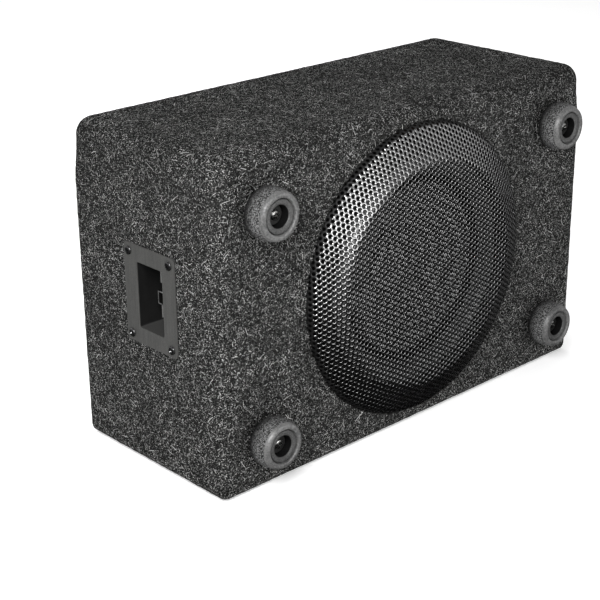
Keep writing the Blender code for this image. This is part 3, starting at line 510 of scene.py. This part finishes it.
def turned_piece(
    name, outline, steps, place, finish, slot, replaces=(), body="box", facing="front", sharp=35, paints=()
):
    """A lathed piece, painted while it is still along +Z and then set in place."""
    mesh = mesh_from(lathe(outline, steps), sharp)
    add_piece(name, mesh, finish, replaces, body)
    for paint, chosen in paints:
        paint_faces(mesh, paint, chosen)
    set_in_place(mesh, place, facing)


def cad_form(node):
    """A CAD node's own shape, with its flat faces merged."""
    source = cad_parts[node]
    form = bmesh.new()
    form.from_mesh(source.data)
    form.transform(source.matrix_world)
    bmesh.ops.remove_doubles(form, verts=form.verts, dist=0.00002)
    bmesh.ops.dissolve_limit(form, angle_limit=math.radians(1.0), verts=form.verts, edges=form.edges)
    return form


def refined(node, finish, width, segments=2, body="box"):
    """A CAD node's own shape, with its edges rounded, standing in for the node."""
    mesh = mesh_from(cad_form(node))
    piece = add_piece(f"{node}_fine", mesh, finish, [node], body)
    bevel = piece.modifiers.new("soft edges", "BEVEL")
    bevel.width = width
    bevel.segments = segments
    bevel.limit_method = "ANGLE"
    bevel.angle_limit = math.radians(40)
    bevel.harden_normals = True
    return piece


# ---- carpet

GRID = 0.0022
EDGE_ROUND = 0.007
TOP_ROUND = 0.014
ROUNDER_BELOW_TOP = 0.05
ROUNDER_OVER = 0.036
WELL_CORNER = 0.004
AMP_CORNER = 0.006
SKIN_LOW = Vector((LEFT, FRONT, BASE))
SKIN_HIGH = Vector((RIGHT, BACK, TOP))


def box_skin():
    """The surface of the carpeted box as an even grid of quads, welded at its edges."""
    form = bmesh.new()
    size = SKIN_HIGH - SKIN_LOW
    counts = [max(2, round(size[axis] / GRID)) for axis in range(3)]
    for axis in range(3):
        u_axis, v_axis = [other for other in range(3) if other != axis]
        for plane in (SKIN_LOW[axis], SKIN_HIGH[axis]):
            grid = []
            for i in range(counts[u_axis] + 1):
                row = []
                for j in range(counts[v_axis] + 1):
                    point = Vector((0.0, 0.0, 0.0))
                    point[axis] = plane
                    point[u_axis] = SKIN_LOW[u_axis] + size[u_axis] * i / counts[u_axis]
                    point[v_axis] = SKIN_LOW[v_axis] + size[v_axis] * j / counts[v_axis]
                    row.append(form.verts.new(point))
                grid.append(row)
            for i in range(counts[u_axis]):
                for j in range(counts[v_axis]):
                    form.faces.new((grid[i][j], grid[i + 1][j], grid[i + 1][j + 1], grid[i][j + 1]))
    bmesh.ops.remove_doubles(form, verts=form.verts, dist=GRID * 0.01)
    bmesh.ops.recalc_face_normals(form, faces=form.faces)
    return form


def tucked(point, inset=0.0):
    """The nearest place on or in the rounded box, whose edges are rounder towards its top."""
    rise = min(1.0, max(0.0, (point.z - (TOP - ROUNDER_BELOW_TOP)) / ROUNDER_OVER))
    radius = EDGE_ROUND + (TOP_ROUND - EDGE_ROUND) * rise * rise * (3 - 2 * rise)
    core = Vector([min(max(point[a], SKIN_LOW[a] + radius), SKIN_HIGH[a] - radius) for a in range(3)])
    out = point - core
    reach = radius - inset
    return core + out.normalized() * reach if out.length > reach else point


def open_hole(form, axis, side, plane, shape):
    """Cut a hole in one face of the skin. shape(u, v) is the distance outside the hole's edge."""
    u_axis, v_axis = [other for other in range(3) if other != axis]
    near = [v for v in form.verts if abs(v.co[axis] - plane) < 0.0005]
    gaps = {v: shape(v.co[u_axis], v.co[v_axis]) for v in near}
    inside = [f for f in form.faces if all(v in gaps and gaps[v] < 0 for v in f.verts)]
    bmesh.ops.delete(form, geom=inside, context="FACES")
    step = GRID * 0.01
    for vertex, gap in gaps.items():
        if not vertex.is_valid or gap > 0.45 * GRID:
            continue
        u, v = vertex.co[u_axis], vertex.co[v_axis]
        slope_u = (shape(u + step, v) - shape(u - step, v)) / (2 * step)
        slope_v = (shape(u, v + step) - shape(u, v - step)) / (2 * step)
        vertex.co[u_axis] -= gap * slope_u
        vertex.co[v_axis] -= gap * slope_v
    rim = [e for e in form.edges if e.is_boundary and all(v in gaps for v in e.verts)]
    for share in (0.35, 1.0):
        made = bmesh.ops.extrude_edge_only(form, edges=rim)["geom"]
        rim = [item for item in made if isinstance(item, bmesh.types.BMEdge) and item.is_boundary]
        for item in made:
            if isinstance(item, bmesh.types.BMVert):
                item.co[axis] = plane - side * CARPET * share


def plate_gap(node, radius):
    """Distance outside a plate on one end of the box, a rectangle with rounded corners."""
    low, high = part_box(node)
    centre_y, centre_z = (low.y + high.y) / 2, (low.z + high.z) / 2
    half_y, half_z = (high.y - low.y) / 2 - radius, (high.z - low.z) / 2 - radius

    def gap(y, z):
        out_y, out_z = abs(y - centre_y) - half_y, abs(z - centre_z) - half_z
        outside = math.hypot(max(out_y, 0.0), max(out_z, 0.0))
        return outside + min(max(out_y, out_z), 0.0) - radius

    return gap


def make_carpet():
    form = box_skin()
    for vertex in form.verts:
        vertex.co = tucked(vertex.co.copy())
    mouth = GRILLE_RADIUS - 0.0002
    open_hole(form, 1, -1, FRONT, lambda x, z: math.hypot(x - DRIVER_X, z - DRIVER_Z) - mouth)
    open_hole(form, 0, -1, LEFT, plate_gap("connector_well", WELL_CORNER))
    open_hole(form, 0, 1, RIGHT, plate_gap("amp_plate", AMP_CORNER))
    press_round_feet(form)
    # Extruded hems come in a new order on each run, so the skin is sorted by place
    weights = Vector((1.0, 17.3, 311.7))
    form.verts.sort(key=lambda v: v.co.dot(weights))
    form.faces.sort(key=lambda f: f.calc_center_median().dot(weights))
    nodes = ["carpet_wrap", "carpet_base", "carpet_left", "carpet_right"]
    carpet = add_piece("carpet_skin", mesh_from(form, sharp=180), "carpet", nodes)
    rough_up(carpet)


FEET_REACH = 0.007
FEET_DENT = 0.0019


def press_round_feet(form):
    """The felt gives a little under each foot and just outside it."""
    centres = [middle(f"foot_{index}") for index in range(1, 5)]
    radius = (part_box("foot_1")[1].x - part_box("foot_1")[0].x) / 2
    for vertex in form.verts:
        if abs(vertex.co.y - FRONT) > 0.0005:
            continue
        for centre in centres:
            gap = math.hypot(vertex.co.x - centre.x, vertex.co.z - centre.z) - radius
            if gap < FEET_REACH:
                share = min(1.0, (FEET_REACH - gap) / FEET_REACH)
                vertex.co.y += FEET_DENT * share * share


def rough_up(piece):
    """Felt's uneven surface: a lumpy layer under a fine one. Both stay under half a millimetre."""
    for name, size, strength in (("lumps", 0.016, 0.0003), ("tufts", 0.0035, 0.0006)):
        texture = bpy.data.textures.new(name, "CLOUDS")
        texture.noise_scale = size
        texture.noise_depth = 1
        push = piece.modifiers.new(name, "DISPLACE")
        push.texture = texture
        push.texture_coords = "GLOBAL"
        push.strength = strength
        push.mid_level = 0.75


# ---- grille

PITCH = 0.00425
HOLE_RADIUS = 0.00140
SHEET = 0.0008
CROWN_RADIUS = 0.0885
WALL_HEIGHT = 0.0062
SHOULDER = 0.0048
SIDE_BAND = 0.0022


def grille_path():
    """The middle of the pressed sheet as (arc length, radius, height) stations from the centre."""
    half = SHEET / 2
    top = GRILLE_HEIGHT - half
    rim_low = FRONT - GRILLE_HIGH.y
    wall = GRILLE_RADIUS - half
    corners = [
        (0.0, top),
        (CROWN_RADIUS, top),
        (wall - SHOULDER, WALL_HEIGHT),
        (wall - 0.4 * SHOULDER, 0.72 * WALL_HEIGHT),
        (wall, 0.28 * WALL_HEIGHT),
        (wall, rim_low),
    ]
    outline = rounded(corners, 0.0024, 6)
    stations = [(0.0, *outline[0])]
    for before, here in zip(outline, outline[1:]):
        step = math.hypot(here[0] - before[0], here[1] - before[1])
        if step > 1e-9:
            stations.append((stations[-1][0] + step, *here))
    return stations


def hex_sheet(reach):
    """A flat sheet full of round holes, in upright columns staggered by half a step."""
    form = bmesh.new()
    column_step = PITCH * math.sqrt(3) / 2
    columns = int(reach / column_step) + 2
    rows = int(reach / PITCH) + 2
    corner_reach = PITCH / math.sqrt(3)
    for column in range(-columns, columns + 1):
        for row in range(-rows, rows + 1):
            x = column * column_step
            y = (row + 0.5 * (column % 2)) * PITCH
            if math.hypot(x, y) > reach + PITCH:
                continue
            hole = []
            border = []
            for step in range(12):
                angle = math.pi * step / 6
                direction = Vector((math.cos(angle), math.sin(angle), 0.0))
                centre = Vector((x, y, 0.0))
                hole.append(form.verts.new(centre + direction * HOLE_RADIUS))
                out = corner_reach if step % 2 == 0 else PITCH / 2
                border.append(form.verts.new(centre + direction * out))
            for step in range(12):
                follow = (step + 1) % 12
                form.faces.new((hole[step], border[step], border[follow], hole[follow]))
    bmesh.ops.remove_doubles(form, verts=form.verts, dist=PITCH * 0.02)
    return form


def trim_to_circle(form, reach):
    """Keep what lies inside the circle, and draw the cut edge onto it."""
    outside = [f for f in form.faces if all(v.co.length > reach for v in f.verts)]
    bmesh.ops.delete(form, geom=outside, context="FACES")
    for vertex in form.verts:
        if vertex.co.length > reach:
            vertex.co *= reach / vertex.co.length
    bmesh.ops.remove_doubles(form, verts=form.verts, dist=0.00008)
    bmesh.ops.dissolve_degenerate(form, dist=0.00005, edges=form.edges)
    loose = [v for v in form.verts if not v.link_faces]
    bmesh.ops.delete(form, geom=loose, context="VERTS")


def make_grille():
    stations = grille_path()
    reach = stations[-1][0]
    form = hex_sheet(reach)
    trim_to_circle(form, reach)
    lengths, radii, heights = zip(*stations)
    for vertex in form.verts:
        along = vertex.co.length
        radius = float(np.interp(along, lengths, radii))
        height = float(np.interp(along, lengths, heights))
        scale = radius / along if along > 1e-9 else 1.0
        vertex.co = Vector((vertex.co.x * scale, vertex.co.y * scale, height))
    mesh = mesh_from(form, sharp=50)
    set_in_place(mesh, DRIVER)
    grille = add_piece("grille_mesh", mesh, "grille", ["grille"])
    shell = grille.modifiers.new("sheet", "SOLIDIFY")
    shell.thickness = SHEET
    shell.offset = 0.0
    # The wall of a hole takes the slot after its face's own, so each paint is followed by the dark edge
    shell.material_offset_rim = 1
    mesh.materials.append(FINISHES["hole_edge"])
    side = GRILLE_RADIUS - SIDE_BAND
    paint_faces(mesh, "grille_side", lambda c: math.hypot(c.x - DRIVER_X, c.z - DRIVER_Z) > side)
    mesh.materials.append(FINISHES["hole_edge"])


# ---- feet and screws


# A screw's head radius, head height, shaft radius and length
FOOT_SCREW = (0.0038, 0.0022, 0.0020, 0.0200)
WOOFER_SCREW = (0.0042, 0.0020, 0.0019, 0.0140)
PLATE_SCREW = (0.0033, 0.0014, 0.0013, 0.0130)
SCREW_TURN = 0.7
# The cross's lower and upper end: arm length and half width in head radii, height in head heights
CROSS_ENDS = ((0.34, 0.085, 0.25), (0.62, 0.13, 1.3))


def cross_tool(head_radius, head_height):
    """A plus-shaped plug that narrows downwards, for sinking the cross in a screw's head."""
    rings = []
    for reach, half, height in CROSS_ENDS:
        ring = []
        for quarter in range(4):
            turn = Matrix.Rotation(quarter * math.pi / 2, 4, "Z")
            for x, y in ((reach, -half), (reach, half), (half, half)):
                ring.append(turn @ Vector((x * head_radius, y * head_radius, height * head_height)))
        rings.append(ring)
    return mesh_from(loft(rings))


def cross_head(head_radius, head_height, shaft_radius, length):
    """A pan-head screw about Z with its seat at zero and a tapered cross sunk in the head."""
    outline = [(0.0, -length), (shaft_radius, -length), (shaft_radius, 0.0), (head_radius, 0.0)]
    for step in range(8):
        angle = math.pi / 2 * step / 8
        outline.append((head_radius * math.cos(angle) ** 0.8, head_height * (0.35 + 0.65 * math.sin(angle))))
    outline.append((0.0, head_height))
    blank = add_item("screw_blank", mesh_from(lathe(outline, 32)))
    tool = add_item("cross_tool", cross_tool(head_radius, head_height))
    change = blank.modifiers.new("cross", "BOOLEAN")
    change.object = tool
    change.operation = "DIFFERENCE"
    graph = bpy.context.evaluated_depsgraph_get()
    shape = bpy.data.meshes.new_from_object(blank.evaluated_get(graph))
    for item in (blank, tool):
        bpy.data.objects.remove(item, do_unlink=True)
    shape.shade_smooth()
    shape.set_sharp_from_angle(angle=math.radians(35))
    return shape


def place_screws(kind, facing, seats, head, finish="dark_steel"):
    """One screw copied to kind_1 and on, each at its seat along the axis it faces, and turned a little."""
    shape = cross_head(*head)
    for index, seat in enumerate(seats, 1):
        node = f"{kind}_{index}"
        mesh = shape.copy()
        mesh.transform(Matrix.Rotation(SCREW_TURN * index, 4, "Z"))
        place = middle(node)
        place[1 if facing == "front" else 0] = seat
        set_in_place(mesh, place, facing)
        add_piece(f"{node}_fine", mesh, finish, [node])


FOOT_HOLE = 0.0080
FOOT_GROOVE = 0.0129
FOOT_BORE = 0.0026
FLANK_WITHIN = 0.015
FLANK_BELOW_RIM = 0.0030
WASHER_ROUND = 0.0003


def foot_outline(radius, height, floor):
    """Half a foot's section: flank, shoulder, raised rim, a step down, inner ring and sunken hole."""
    flank = [(radius - 0.0032, GAP), (radius - 0.0014, 0.0016), (radius - 0.0001, 0.0048)]
    # Inwards from the flank, as a radius and a depth below the rim
    top = [
        (radius - 0.0003, 0.0075),
        (radius - 0.0013, 0.0026),
        (radius - 0.0024, 0.0005),
        (radius - 0.0038, 0.0),
        (0.0139, 0.0001),
        (0.0132, 0.0006),
        (FOOT_GROOVE, 0.0034),
        (0.0124, 0.0034),
        (0.0121, 0.0014),
        (0.0112, 0.0011),
        (FOOT_HOLE + 0.0012, 0.0012),
        (FOOT_HOLE, 0.0026),
    ]
    corners = [(FOOT_BORE, GAP), *flank, *[(reach, height - drop) for reach, drop in top]]
    corners += [(FOOT_HOLE - 0.0001, floor), (FOOT_BORE, floor)]
    return rounded(corners, 0.0010, 4)


def make_feet():
    low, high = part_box("foot_1")
    radius = (high.x - low.x) / 2
    height = FRONT - low.y
    paints = (
        # The sunken inner ring and the hole take darker copies of the rubber as painted shade
        ("inner_rubber_painted_shade", lambda c: off_axis(c) < FOOT_GROOVE),
        ("hole_rubber_painted_shade", lambda c: off_axis(c) < FOOT_HOLE + 0.0004),
        ("flank_rubber", lambda c: c.z < height - FLANK_BELOW_RIM and off_axis(c) > FLANK_WITHIN),
    )
    for index in range(1, 5):
        node = f"foot_{index}"
        centre = middle(node)
        place = (centre.x, FRONT, centre.z)
        washer = f"foot_washer_{index}"
        low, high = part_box(washer)
        outside = (high.x - low.x) / 2
        top = FRONT - low.y
        base = FRONT - high.y
        outline = foot_outline(radius, height, base - GAP)
        look = {"finish": "rubber", "slot": "foot_rubber", "sharp": 50, "paints": paints}
        turned_piece(f"{node}_fine", outline, 72, place, replaces=[node], **look)
        ring = [(FOOT_BORE, base), (outside, base), (outside, top), (FOOT_BORE, top)]
        ring = rounded([*ring, (FOOT_BORE, (top + base) / 2)], WASHER_ROUND, 3)
        turned_piece(f"{washer}_fine", ring, 48, place, "washer", "screw_steel", [washer])
    seats = [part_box(f"foot_washer_{index}")[0].y - GAP for index in range(1, 5)]
    place_screws("foot_screw", "front", seats, FOOT_SCREW, "steel")


# ---- loudspeaker

ROLL_CREST = 0.0819
ROLL_HALF = 0.0052
ROLL_RISE = 0.0063
ROLL_SEAT = 0.0002
SURROUND_LAP = 0.0665
SPIDER_HOLE = 0.0210
CONE_LIP = 0.0738
CONE_HOLE = 0.0212


def make_sectors(node, outline, count, finish):
    """A flexible ring in sectors, each reaching from the basket to the cone."""
    sweep = 2 * math.pi / count
    for index in range(count):
        mesh = mesh_from(lathe(outline, 6, sweep * (index - 0.5), sweep), sharp=60)
        set_in_place(mesh, DRIVER)
        replaced = [node] if index == 0 else []
        piece = add_piece(f"{node}_part_{index + 1}", mesh, finish, replaced, None)
        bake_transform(piece)


def make_surround():
    """A half-roll of rubber between the basket's flange and the cone."""
    low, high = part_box("surround")
    points = [((high.x - low.x) / 2 - 0.0001, ROLL_SEAT)]
    for step in range(17):
        angle = math.pi * step / 16
        point = (ROLL_CREST + ROLL_HALF * math.cos(angle), ROLL_SEAT + ROLL_RISE * math.sin(angle))
        points.append(point)
    points += [(0.0763, -0.0022), (0.0740, -0.0026)]
    outline = thick(points, 0.00035, 0.00035)
    make_sectors("surround", outline, 24, "roll")


def make_spider():
    """A rippled cloth disc between the basket and the coil."""
    low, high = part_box("spider")
    outer = (high.x - low.x) / 2
    depth = FRONT - (low.y + high.y) / 2
    points = []
    for step in range(61):
        share = step / 60
        ripple = 0.0011 * math.sin(10 * math.pi * share)
        points.append((outer + (SPIDER_HOLE - outer) * share, depth + ripple))
    outline = thick(points, 0.0002, 0.0002)
    make_sectors("spider", outline, 12, "spider")


def make_cone():
    """The woven cone, dark beyond the surround's lap: partly its black rubber, partly painted shade. The dust
    cap is at its middle.
    """
    low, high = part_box("cone")
    edge = (high.x - low.x) / 2
    lip = FRONT - low.y - 0.0004
    neck = FRONT - high.y + 0.0006
    points = [(edge, lip), (CONE_LIP, lip)]
    for step in range(1, 25):
        share = step / 24
        sag = 0.0015 * math.sin(math.pi * share)
        points.append((CONE_LIP + (CONE_HOLE - CONE_LIP) * share, lip + (neck - lip) * share + sag))
    look = {"finish": "weave", "slot": "woven_fibre", "body": "moving_cone", "sharp": 50}
    # Near black beyond the lap radius: partly the surround's rubber lap, partly painted shade
    paints = [("lap", lambda c: off_axis(c) > SURROUND_LAP)]
    outline = thick(points, 0.0004, 0.0004)
    turned_piece("cone_fine", outline, 128, DRIVER, replaces=["cone"], paints=paints, **look)
    low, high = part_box("dust_cap")
    rim = (high.x - low.x) / 2
    apex = FRONT - low.y - 0.0004
    rise = high.y - low.y - 0.0008
    arc = []
    for step in range(17):
        angle = math.pi / 2 * step / 16
        arc.append((rim * math.sin(angle), apex - rise * (1 - math.cos(angle))))
    turned_piece("dust_cap_fine", thick(arc, 0.0003, 0.0004), 96, DRIVER, replaces=["dust_cap"], **look)


def make_driver_frame():
    refined("basket", "basket", 0.0004)
    refined("woofer_gasket", "foam", 0.0006, 3)
    place_screws("woofer_screw", "front", [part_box("basket")[0].y - GAP] * 4, WOOFER_SCREW)


# ---- plates


TICKS = 11
KNOB_SWEEP = 300
FLUTES = 18
# Stands a bar against a plate that faces +X: its length from Y to Z, its thickness from Z to X
UPRIGHT = Matrix.Rotation(math.pi / 2, 4, "X") @ Matrix.Rotation(math.pi / 2, 4, "Y")


def make_connector():
    refined("connector_well", "plate", 0.0005, 3)
    socket = refined("harness_socket", "socket", 0.0003)
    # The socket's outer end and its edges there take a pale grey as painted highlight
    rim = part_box("harness_socket")[0].x + 0.0003
    paint_faces(socket.data, "socket_end_painted_highlight", lambda c: c.x < rim)
    refined("harness_pins", "gold", 0.0001, 1)
    make_well_highlight_ribs()
    place_screws("well_screw", "left", [WELL_FACE - GAP] * 4, PLATE_SCREW)


def make_well_highlight_ribs():
    """Two slim pale ribs down the corner between the tub's rear side and its floor, above and below the
    socket, as a painted highlight on the moulded corner.
    """
    length = 0.0032
    corner_y = WELL.y + WELL_MOUTH[0] / 2
    socket_low, socket_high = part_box("harness_socket")
    head = WELL_SILL + WELL_MOUTH[1]
    spans = ((WELL_SILL + 0.0012, socket_low.z - 0.0012), (socket_high.z + 0.0012, head - 0.0020))
    for index, (low, high) in enumerate(spans):
        highlight_rib = bar_mesh((length, 0.0010, high - low))
        place = (WELL_FACE + WELL_DEPTH - length / 2, corner_y - 0.0004, (low + high) / 2)
        highlight_rib.transform(Matrix.Translation(place))
        add_piece(f"well_highlight_rib_{index + 1}", highlight_rib, "highlight_rib")


def make_amplifier():
    refined("amp_plate", "amp", 0.0004)
    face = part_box("amp_plate")[1].x
    place_screws("amp_screw", "right", [face + GAP] * 4, PLATE_SCREW)
    make_knob("knob_level", "level_knob", face)
    make_knob("knob_crossover", "crossover_knob", face)
    refined("switch_phase", "knob", 0.0003, body="phase_switch")
    make_jack("rca_left", "white", face)
    make_jack("rca_right", "red", face)
    refined("status_led", "lamp", 0.0002)


def fluted_form(radius, reach):
    """A knob's body along +Z, fluted up to its bevelled end."""
    steps = FLUTES * 6
    rings = []
    for share, height in ((1.0, 0.0004), (1.0, reach - 0.0010), (0.93, reach - 0.0002), (0.86, reach)):
        ring = []
        for step in range(steps):
            angle = 2 * math.pi * step / steps
            wave = 0.5 - 0.5 * math.cos(FLUTES * angle)
            depth = 0.07 * wave ** 0.6 if share > 0.9 else 0.0
            r = radius * share * (1 - depth)
            ring.append((r * math.cos(angle), r * math.sin(angle), height))
        rings.append(ring)
    return loft(rings)


def make_knob(node, body, face):
    """A fluted knob on its shaft, with a pale pointer, and its dial on the plate."""
    low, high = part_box(node)
    centre = (low + high) / 2
    radius = (high.y - low.y) / 2
    place = (face, centre.y, centre.z)
    mesh = mesh_from(fluted_form(radius, high.x - face), sharp=40)
    set_in_place(mesh, place, "right")
    add_piece(f"{node}_fine", mesh, "knob", [node], body)
    pointer = bar_mesh((0.0010, radius * 0.55, 0.0003))
    spot = (high.x + 0.00012, centre.y, centre.z + radius * 0.48)
    pointer.transform(Matrix.Translation(spot) @ UPRIGHT)
    add_piece(f"{node}_pointer", pointer, "print", (), body)
    shaft = [(0.0, -0.010), (0.0028, -0.010), (0.0028, 0.0003), (0.0, 0.0003)]
    turned_piece(f"{node}_shaft", shaft, 24, place, "zinc", "motor_steel", (), body, "right")
    make_dial(node, radius, Vector(place))


def make_dial(node, radius, place):
    """Ticks over the knob's whole turn, longer at the ends and in the middle."""
    for tick in range(TICKS):
        angle = math.radians(KNOB_SWEEP * (tick / (TICKS - 1) - 0.5))
        length = 0.0022 if tick in (0, TICKS // 2, TICKS - 1) else 0.0014
        distance = radius + 0.0022 + length / 2
        mark = bar_mesh((0.0004, length, 0.0001))
        mark.transform(Matrix.Rotation(-angle, 4, "X") @ Matrix.Translation((0.0, 0.0, distance)) @ UPRIGHT)
        mark.transform(Matrix.Translation(place + Vector((0.00002, 0.0, 0.0))))
        add_piece(f"{node}_tick_{tick + 1}", mark, "print")


def bar_mesh(size):
    """A small bar with bevelled edges."""
    form = bmesh.new()
    bmesh.ops.create_cube(form, size=1.0)
    bmesh.ops.scale(form, vec=size, verts=form.verts)
    edges = list(form.edges)
    bmesh.ops.bevel(form, geom=edges, offset=min(size) * 0.3, segments=2, profile=0.5, affect="EDGES")
    return mesh_from(form)


def make_jack(node, finish, face):
    """A phono jack: plated barrel, coloured insulator and a hole for the pin."""
    low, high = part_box(node)
    place = (face, (low.y + high.y) / 2, (low.z + high.z) / 2)
    reach = high.x - face
    flange = [(0.0030, 0.0006), (0.0056, 0.0006), (0.0058, 0.0010), (0.0058, 0.0022), (0.0054, 0.0026)]
    sleeve = [(0.0042, 0.0026), (0.0041, reach - 0.0004), (0.0038, reach), (0.0033, reach)]
    barrel = [*flange, *sleeve, (0.0031, reach - 0.0006), (0.0030, 0.0030)]
    turned_piece(f"{node}_fine", barrel, 40, place, "gold", "contacts", [node], facing="right")
    core = [(0.0, 0.0012), (0.0029, 0.0012), (0.0029, reach - 0.0008)]
    core += [(0.0016, reach - 0.0008), (0.0015, reach - 0.0012), (0.0015, 0.0022), (0.0, 0.0022)]
    turned_piece(f"{node}_insulator", core, 32, place, finish, "black_plastic", facing="right")


def make_panels():
    """The boards, with any corner that would stand through the rounded carpet drawn in under it."""
    for node in ("panel_top", "panel_bottom", "panel_left", "panel_right", "panel_back", "baffle"):
        form = cad_form(node)
        for vertex in form.verts:
            vertex.co = tucked(vertex.co.copy(), CARPET + GAP)
        bmesh.ops.triangulate(form, faces=[face for face in form.faces if len(face.verts) > 4])
        add_piece(f"{node}_board", mesh_from(form), "wood", [node])


def dress_inner_nodes():
    """Better finishes for the CAD nodes that stay as they are inside the box."""
    looks = {
        "top_plate": "zinc",
        "pole_yoke": "zinc",
        "magnet": "ferrite",
        "voice_coil": "former",
        "amp_board": "circuit",
        "capacitor": "black",
        "toroid_coil": "copper",
        "speaker_lead": "sleeve",
        "harness_lead": "sleeve",
    }
    for node, finish in looks.items():
        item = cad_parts[node]
        if not item.material_slots:
            item.data.materials.append(FINISHES[finish])
        for slot in item.material_slots:
            slot.material = FINISHES[finish]


# ---- stage, lights and camera


def make_stage():
    form = bmesh.new()
    bmesh.ops.create_grid(form, x_segments=1, y_segments=1, size=30.0)
    floor = add_item("floor", mesh_from(form))
    floor.location.z = BASE - 0.0006
    floor.visible_glossy = False
    glow = {"Emission_Color": (1.0, 1.0, 1.0, 1.0), "Emission_Strength": 0.42}
    floor.data.materials.append(Finish("white_floor", grey(0.9), 0.9, **glow).material)


def make_light(name, place, target, size, power):
    lamp = bpy.data.lights.new(name, "AREA")
    lamp.shape = "RECTANGLE"
    lamp.size, lamp.size_y = size
    lamp.energy = power
    item = add_item(name, lamp)
    item.location = place
    item.rotation_euler = (Vector(target) - Vector(place)).to_track_quat("-Z", "Y").to_euler()


# The dome's tones, from straight down (0) over the horizon (0.5) to straight up (1)
DOME = ((0.0, 0.0), (0.46, 0.0), (0.49, 0.80), (0.57, 0.80), (0.66, 0.36))


def make_world():
    """A grey studio dome, pale at the horizon and black below, where only reflections see past the floor."""
    world = bpy.data.worlds.new("studio")
    world.use_nodes = True
    nodes = world.node_tree.nodes
    link = world.node_tree.links.new
    place = nodes.new("ShaderNodeTexCoord")
    apart = nodes.new("ShaderNodeSeparateXYZ")
    rise = nodes.new("ShaderNodeMath")
    rise.operation = "MULTIPLY_ADD"
    rise.inputs[1].default_value = 0.5
    rise.inputs[2].default_value = 0.5
    dome = nodes.new("ShaderNodeValToRGB")
    stops = dome.color_ramp.elements
    while len(stops) < len(DOME):
        stops.new(0.5)
    for stop, (height, tone) in zip(stops, DOME):
        stop.position = height
        stop.color = (*grey(tone), 1.0)
    link(place.outputs["Generated"], apart.inputs[0])
    link(apart.outputs["Z"], rise.inputs[0])
    link(rise.outputs[0], dome.inputs["Fac"])
    link(dome.outputs["Color"], nodes["Background"].inputs["Color"])
    bpy.context.scene.world = world


def make_lights():
    middle_up = (0.0, 0.0, HEIGHT / 2)
    make_light("front_softbox", (0.14, -1.60, 0.34), (0.0, FRONT, HEIGHT / 2), (0.75, 0.45), 5.2)
    make_light("key", (-0.66, -0.50, 0.64), middle_up, (0.35, 0.35), 8.4)
    make_light("rim", (0.2, 1.2, 1.5), middle_up, (1.0, 0.6), 17.0)


AZIMUTH = math.radians(-42.85)
ELEVATION = math.radians(22.09)
ROLL = math.radians(-0.56)
DISTANCE = 4.571
AIM = (0.574, 0.3, 0.371)
FOCAL_SHARE = 1482.3 / 600


def make_camera():
    """The camera's place is counted in box heights from the front left bottom corner."""
    level = math.cos(ELEVATION)
    back = Vector((math.sin(AZIMUTH) * level, -math.cos(AZIMUTH) * level, math.sin(ELEVATION)))
    aim = SKIN_LOW + Vector(AIM) * HEIGHT
    right = (-back).cross(Vector((0, 0, 1))).normalized()
    up = right.cross(-back)
    across = right * math.cos(ROLL) + up * math.sin(ROLL)
    above = up * math.cos(ROLL) - right * math.sin(ROLL)
    camera = bpy.data.cameras.new("camera")
    camera.sensor_width = 36.0
    camera.lens = 36.0 * FOCAL_SHARE
    camera.clip_start = 0.05
    camera.clip_end = 100.0
    item = add_item("camera", camera)
    turn = Matrix((across, above, back)).transposed()
    item.matrix_world = Matrix.Translation(aim + back * DISTANCE * HEIGHT) @ turn.to_4x4()
    bpy.context.scene.camera = item
    bpy.context.scene.view_settings.view_transform = "Standard"


make_stage()
make_world()
make_lights()
make_camera()
make_panels()
make_carpet()
make_grille()
make_feet()
make_surround()
make_spider()
make_cone()
make_driver_frame()
make_connector()
make_amplifier()
dress_inner_nodes()

bpy.context.view_layer.update()
